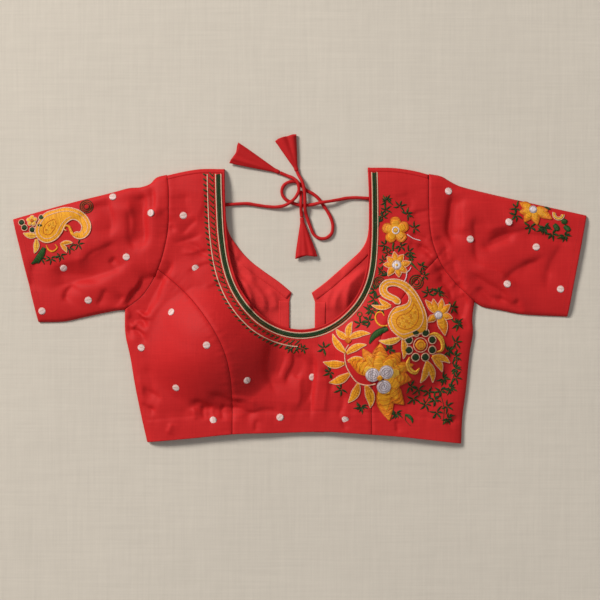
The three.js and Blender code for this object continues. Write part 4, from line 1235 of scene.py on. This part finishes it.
# The large paisley: a full body with a hooked neck, worked in rows of one colour inside another.
def paisley(work):
    body = [(137, -45), (128, -39), (120, -31), (116.5, -20), (119.5, -10), (126, -3), (136, 0), (143, 3), (145.5, 11),
            (140, 19.5), (131.5, 25), (123, 26.5), (116.5, 24), (116.5, 19), (121.5, 15), (129.5, 11), (133.5, 6.5),
            (132, 2.5), (127, 2.5), (123, 6), (116.5, 8.5), (109.5, 13), (106.5, 20), (108, 27.5), (113.5, 33),
            (122, 35), (132, 34.5), (143, 30), (153, 20.5), (161, 7.5), (167.5, -9), (169.5, -23), (167, -34), (156, -38),
            (146, -41)]
    patch(work, body, gold, 0.6, 1.2, (0.3, 1.0))
    stroke(work, body + body[:1], [1.7, 1.9, 1.7], blush, 3.4, 0.8)
    # one line runs just inside the edge: out of the hook, round the body, and back up in an S into the neck
    inner = [(126, 8.5), (117, 12.5), (111, 18.5), (111.8, 26), (119, 30.8), (130, 30), (140.5, 25.5), (151, 16), (158.5, 3.5),
             (163, -8), (164, -19), (158, -29.5), (147, -35), (134.5, -37.5), (125.5, -31), (120.5, -20), (122.5, -11.5),
             (131, -7.5), (140, -4.5), (146.5, 1.5), (148, 9), (144, 16), (137, 22)]
    stroke(work, inner, [1.2, 1.4, 1.2], blush, 4.7, 0.5)
    heartLine = [(151.5, 3), (148.5, -4.5), (141, -10.5), (131.5, -13.5), (127, -20), (131, -28.5), (142, -31), (152, -26),
                 (157, -16), (156.5, -6), (151.5, 3)]
    stroke(work, heartLine, [1.1, 1.2, 1.1], amber, 4.7, 0.5)
    beads(work, heartLine, 4.2, 1.25)
    for tip in ((104.9, 10), (95.2, 0.7)):
        petal(work, (120.9, -0.7), tip, 6.2, gold, blush, amber, pointedShape, 0.1)
    stroke(work, [(115.6, -26), (107, -26.5), (101, -21), (100, -14), (103, -9), (108.5, -9), (111.6, -13.7)],
           [1.6, 2.4, 2.6, 2.5, 2.2, 1.7, 1.2], gold, 1, 0.8)
    petal(work, (115.6, -30), (91.5, -50), 7.5, green, forest, None, leafShape, -0.14)
    petal(work, (133, -42), (104, -46), 8.4, lemon, blush, amber, pointedShape, 0.12)
    petal(work, (135.7, -43.6), (136.5, -70), 8.6, gold, blush, amber, pointedShape, 0.08)


def rosette(work, centre=(159.8, -52.1)):
    for k in range(8):
        at = polar(centre, 17.6, 22 + 45 * k)
        ring(work, at, 5.2, 1.5, blush, 2.2)
        disc(work, at, 4.6, forest, 1.6, 1.1)
    ring(work, centre, 9.4, 1.3, blush, 1.6)
    disc(work, centre, 7.4, gold, 1.6, 1.3)
    ring(work, centre, 4.2, 1.1, amber, 5.6)
    for points, widths in (
            ([(172, -39), (180, -38), (188, -43.6), (191, -52), (189.3, -59.6), (181.2, -62.3)], [2, 5.5, 7, 6, 4, 1.4]),
            ([(145, -68), (142.5, -77), (145, -84), (153, -89), (159, -83)], [2, 6, 7, 5.5, 1.6])):
        stroke(work, points, widths, lemon, 1.2, 1.0)
        stroke(work, points, [1.0, 1.3, 1.0], amber, 4.2, 0.5)
    for base, tips in (((168.6, -74.4), ((160.6, -103), (177.8, -103))), ((175.9, -67.7), ((190.6, -89), (201.3, -77)))):
        for tip in tips:
            petal(work, base, tip, 9.5, gold, blush, amber, pointedShape, 0.1)


def sideFlower(work, centre=(185.3, -12.7)):
    tips = [(167.9, 7.4), (178.6, 9), (190.6, 9.4), (201.8, 1.7), (204.7, -16.8), (170, -22)]
    flower(work, centre, tips, 9.5, orange, blush, None, shape=pointedShape, heart=gold)
    petal(work, centre, (194, -40), 13.5, orange, blush, None, pointedShape, 0.06, 1.6, gold)
    disc(work, centre, 4.8, white, 5.2)
    ring(work, centre, 5.0, 1.2, silver, 5.5)


def largeFlower(work, centre=(107.5, -94.5)):
    outer = [(106.2, -50), (83, -57), (65, -73), (132, -62), (147.5, -98.5), (139, -132), (119.6, -153.5), (150, -78)]
    for k, tip in enumerate(outer):
        petal(work, between(centre, tip, 0.18), tip, 22.5 if k not in (7, 1) else 17, orange, amber, amber, pointedShape,
              0.05 * math.sin(k * 1.9 + 1), 0.8 + 0.3 * (k % 2), gold)
    for k, angle in enumerate((100, 150, 60, 15, -30, -70)):
        petal(work, polar(centre, 5, angle), polar(centre, 27 - 2 * (k % 2), angle), 14.5, lemon if k % 2 else gold, orange,
              None, (0.4, 0.66, 0.88, 1.0, 1.0, 0.92, 0.7, 0.4), 0.04, 4.0 + 0.3 * (k % 2))
    for at, turn in (((96.3, -91.8), 165), ((114.2, -88), 35), ((111.6, -107.9), -62)):
        disc(work, at, 9.2, white, 5.2, 0.9)
        ring(work, at, 8.8, 1.4, silver, 6.0)
        ring(work, at, 6.2, 0.9, silver, 8.6, 0.5)
        ring(work, at, 3.6, 0.8, silver, 8.9, 0.5)
        stroke(work, [between(centre, at, 0.3), polar(at, 7, turn)], [1.2, 0.6], silver, 9.0, 0.4)
    disc(work, (105.8, -96), 3.9, gold, 8.6, 1.0)


def spray(work):
    stroke(work, [(100.8, -103.9), (92, -106), (83.4, -105.2), (76, -102), (71.4, -97.2), (66, -89), (62, -81),
                  (60, -72), (59.8, -63.7), (61, -58), (64.7, -52)], [1.9, 1.8, 1.6, 1.4], blush, 1.4)
    for base, tip, wide in (((59.3, -77), (31.5, -75.7), 10.5), ((66, -90.5), (39.5, -103.5), 11), ((78.1, -103.9), (65, -130), 11),
                            ((88, -106.5), (94.6, -137), 12), ((60.6, -62.3), (44, -38), 9), ((62, -63.7), (88, -51.5), 9),
                            ((63.5, -74), (86, -71), 7)):
        petal(work, base, tip, wide, gold, blush, amber, pointedShape, 0.09, 1)
    disc(work, (64.1, -46.2), 4.2, amber, 2)
    for tip in ((48.5, -31.5), (69.8, -21.5), (93, -36.9)):
        petal(work, (64.1, -44), tip, 8.4, gold, blush, amber, pointedShape, 0.1)


def greens(work):
    for at, turn, count in (
            ((32.5, -57), 150, 4), ((80.7, -24), 110, 3), ((94.1, -4.7), 200, 4), ((99.5, 8.7), 160, 3), ((100, 20.8), 170, 3),
            ((116.9, -58.3), 60, 3), ((40.5, -89), 200, 3), ((55.3, -111.9), 220, 3), ((82, -135), 250, 3), ((129, -144), 260, 3),
            ((147, -108), -20, 3), ((171.8, 16), 80, 3), ((185.3, 17), 70, 4), ((205.4, -3), 20, 3), ((211, -24.8), 0, 4),
            ((209, -48.9), 0, 4), ((198.4, -61), -10, 3), ((208, -67.7), 0, 3), ((207.7, -83.8), -20, 3), ((208.7, -96.5), -30, 3),
            ((201.3, -110.5), -40, 4), ((188, -113.2), -80, 3), ((179.9, -125.6), -60, 4), ((168.5, -132), -120, 3),
            ((158.5, -112), -100, 3), ((196.7, -134.7), -50, 3), ((183.3, -142.7), -80, 3), ((198, -151), -40, 3),
            ((92, -20), 150, 3), ((172, -115), -90, 3), ((192, -98), -40, 3), ((106, -2), 180, 2), ((152, -125), -100, 3)):
        sprig(work, at, turn, count, 7.2, 3.2)
    for points in ([(141, -146), (142, -154), (148, -161)], [(189, -120), (193, -137), (192, -158)],
                   [(204, -40), (210, -62), (207, -92), (196, -118)], [(167, 20), (182, 22), (199, 10)],
                   [(176, -108), (173, -122), (163, -138)]):
        stroke(work, points, [0.9, 1.1, 0.7], forest, 0, 0.5)
    petal(work, (141, -146), (151, -158), 5.2, green, None, forest, leafShape, 0.2, 0)
    for at, turn in (((-4.5, -58), -20), ((4, -58), 10), ((-13, -57), 190)):
        sprig(work, at, turn, 3, 5.5, 2.4)


def leftSleeveWork(work):
    body = [(-355.5, 101), (-352, 110), (-347, 118), (-341, 124.5), (-329, 128.5), (-316, 131.5), (-304.5, 130.5), (-293, 126),
            (-284, 117), (-279.8, 107), (-281.5, 97.5), (-288, 91), (-297, 89.5), (-304, 94), (-300, 98.5), (-294.5, 98.5),
            (-292, 105.5), (-297, 113), (-305, 115.5), (-314, 109), (-319, 98), (-328, 88), (-341, 84.5), (-352, 91)]
    patch(work, body, gold, 0.5, 1.1, (1.0, 0.25))
    stroke(work, body + body[:1], [1.6, 1.7], blush, 3.0, 0.6)
    inner = [(-290, 94.5), (-285, 100), (-284.5, 108), (-288.5, 116), (-296.5, 122.5), (-306, 126), (-317, 126.5),
             (-330, 123.5), (-341, 118.5), (-348.5, 108), (-350, 98), (-344, 90.5), (-334, 90.5), (-326, 96.5),
             (-321, 106), (-314, 115), (-306, 119.5)]
    stroke(work, inner, [1.2, 1.3, 1.1], blush, 4.3, 0.5)
    heartLine = [(-329, 116), (-337, 112.5), (-343, 105), (-343.5, 97), (-336, 95), (-330, 101), (-326.5, 109), (-329, 116)]
    stroke(work, heartLine, [1.0, 1.1, 1.0], amber, 4.3, 0.5)
    beads(work, heartLine, 3.6, 1.1)
    curl = [(-297, 93), (-304, 95.5), (-307, 101), (-309.5, 106), (-314, 107), (-316, 103), (-312.5, 100)]
    stroke(work, curl, [4.5, 4.6, 4.0, 3.0, 1.6], gold, 1.6, 0.9)
    stroke(work, curl[1:], [0.8, 1.0, 0.7], blush, 3.9, 0.4)
    bloom = (-359.5, 113.8)
    flower(work, bloom, [polar(bloom, 7.2, a) for a in (90, 18, -54, -126, 162)], 6.2, lemon, blush, None, 1.0)
    disc(work, bloom, 2.6, amber, 3)
    for at in ((-373.5, 111.5), (-369.5, 104.5), (-358.8, 101.5), (-348.4, 107.5), (-346.5, 118)):
        disc(work, at, 3.5, forest, 1.2)
        ring(work, at, 4.0, 1.1, blush, 1.6)
    for base, tip, wide in (((-352, 94), (-371, 97), 8), ((-353.5, 89), (-356, 70), 8), ((-321, 82), (-304, 84), 5.5),
                            ((-320, 82), (-312, 71), 5.5)):
        petal(work, base, tip, wide, lemon if wide > 7 else gold, blush, amber, pointedShape, 0.08)
    stroke(work, [(-340, 81), (-337, 75), (-331, 72.5), (-325, 77.7), (-328, 82)], [1.2, 2.4, 2.6, 2.0, 1.0], gold, 1)
    petal(work, (-342.7, 77.7), (-360, 56), 8, green, forest, None, leafShape, 0.1)
    for at, turn in (((-321, 67), 270), ((-309, 77), 290), ((-297, 82), 320), ((-347, 63), 250), ((-334, 63), 280)):
        sprig(work, at, turn, 3, 6, 2.8)
    for radius, colour in ((8.6, forest), (6.2, green), (3.8, forest)):
        ring(work, (-286.4, 133.0), radius, 1.2, colour, 0.6)


def rightSleeveWork(work):
    centre = (313, 129)
    tips = [(295.5, 138), (294.6, 125.6), (301.6, 112), (318.5, 108.5), (338, 116), (333, 128)]
    flower(work, centre, tips, 11.5, orange, amber, None, shape=pointedShape, heart=gold)
    disc(work, centre, 4.5, white, 5.2)
    ring(work, centre, 4.7, 1.2, silver, 5.5)
    for radius, wide, colour in ((8.0, 1.3, blush), (6.0, 2.6, lemon), (4.0, 1.1, blush)):  # cut by the fold
        stroke(work, [polar((347.4, 122.6), radius, a) for a in range(158, 374, 18)], [wide, wide], colour, 1.6, 0.8, 0.9)
    leaf(work, (326, 131), (338, 128.5), 4.6, forest)
    for at, turn, count in (((291, 131), 190, 4), ((290, 121), 200, 3), ((309, 106), 260, 4), ((328, 105), 280, 4),
                            ((326.5, 104), 270, 3), ((338.6, 96), 300, 3), ((355, 94), 290, 3)):
        sprig(work, at, turn, count, 7, 3.4)
    for base, tip in (((341, 109), (346.5, 101)), ((351, 112.5), (358.5, 112.5)), ((354.5, 106.5), (362, 100.5))):
        petal(work, base, tip, 6.4, green, forest, None, (0.5, 0.85, 1.0, 1.0, 0.9, 0.6), 0.05, 0.6)


right, leftArm, rightArm = newWork(), newWork(), newWork()
for part in (greens, topFlower, secondFlower, paisley, rosette, sideFlower, spray, largeFlower):
    part(right)
leftSleeveWork(leftArm)
rightSleeveWork(rightArm)
work = {"embroidery_front": finishWork("embroidery_front", right),
        "embroidery_sleeve_left": finishWork("embroidery_sleeve_left", leftArm),
        "embroidery_sleeve_right": finishWork("embroidery_sleeve_right", rightArm)}


def addFloor(half=3000, level=-0.2):
    corners = [(-half, -half, level), (half, -half, level), (half, half, level), (-half, half, level)]
    addPiece("linen_floor", corners, [(0, 1, 2, 3)], linen)


addFloor()

for node, piece in pieces.items():
    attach(piece, "root")
    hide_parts(node.replace("_roll", ""))
for piece in trims + insideStitches + list(work.values()):
    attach(piece, "root")
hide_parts("neck_braid")

cordFacts = {"dori_left": ("tassel_upper_left", (-100.6, 135.5)), "dori_right": ("tassel_upper", (92.8, 144)),
             "dori_drop": ("tassel_lower", (1.3, 154.2))}
for name, (end, start) in cordFacts.items():
    line = cordLines[name]
    print("cord", name, round(lengthsOf(line)[-1], 1), "mm")
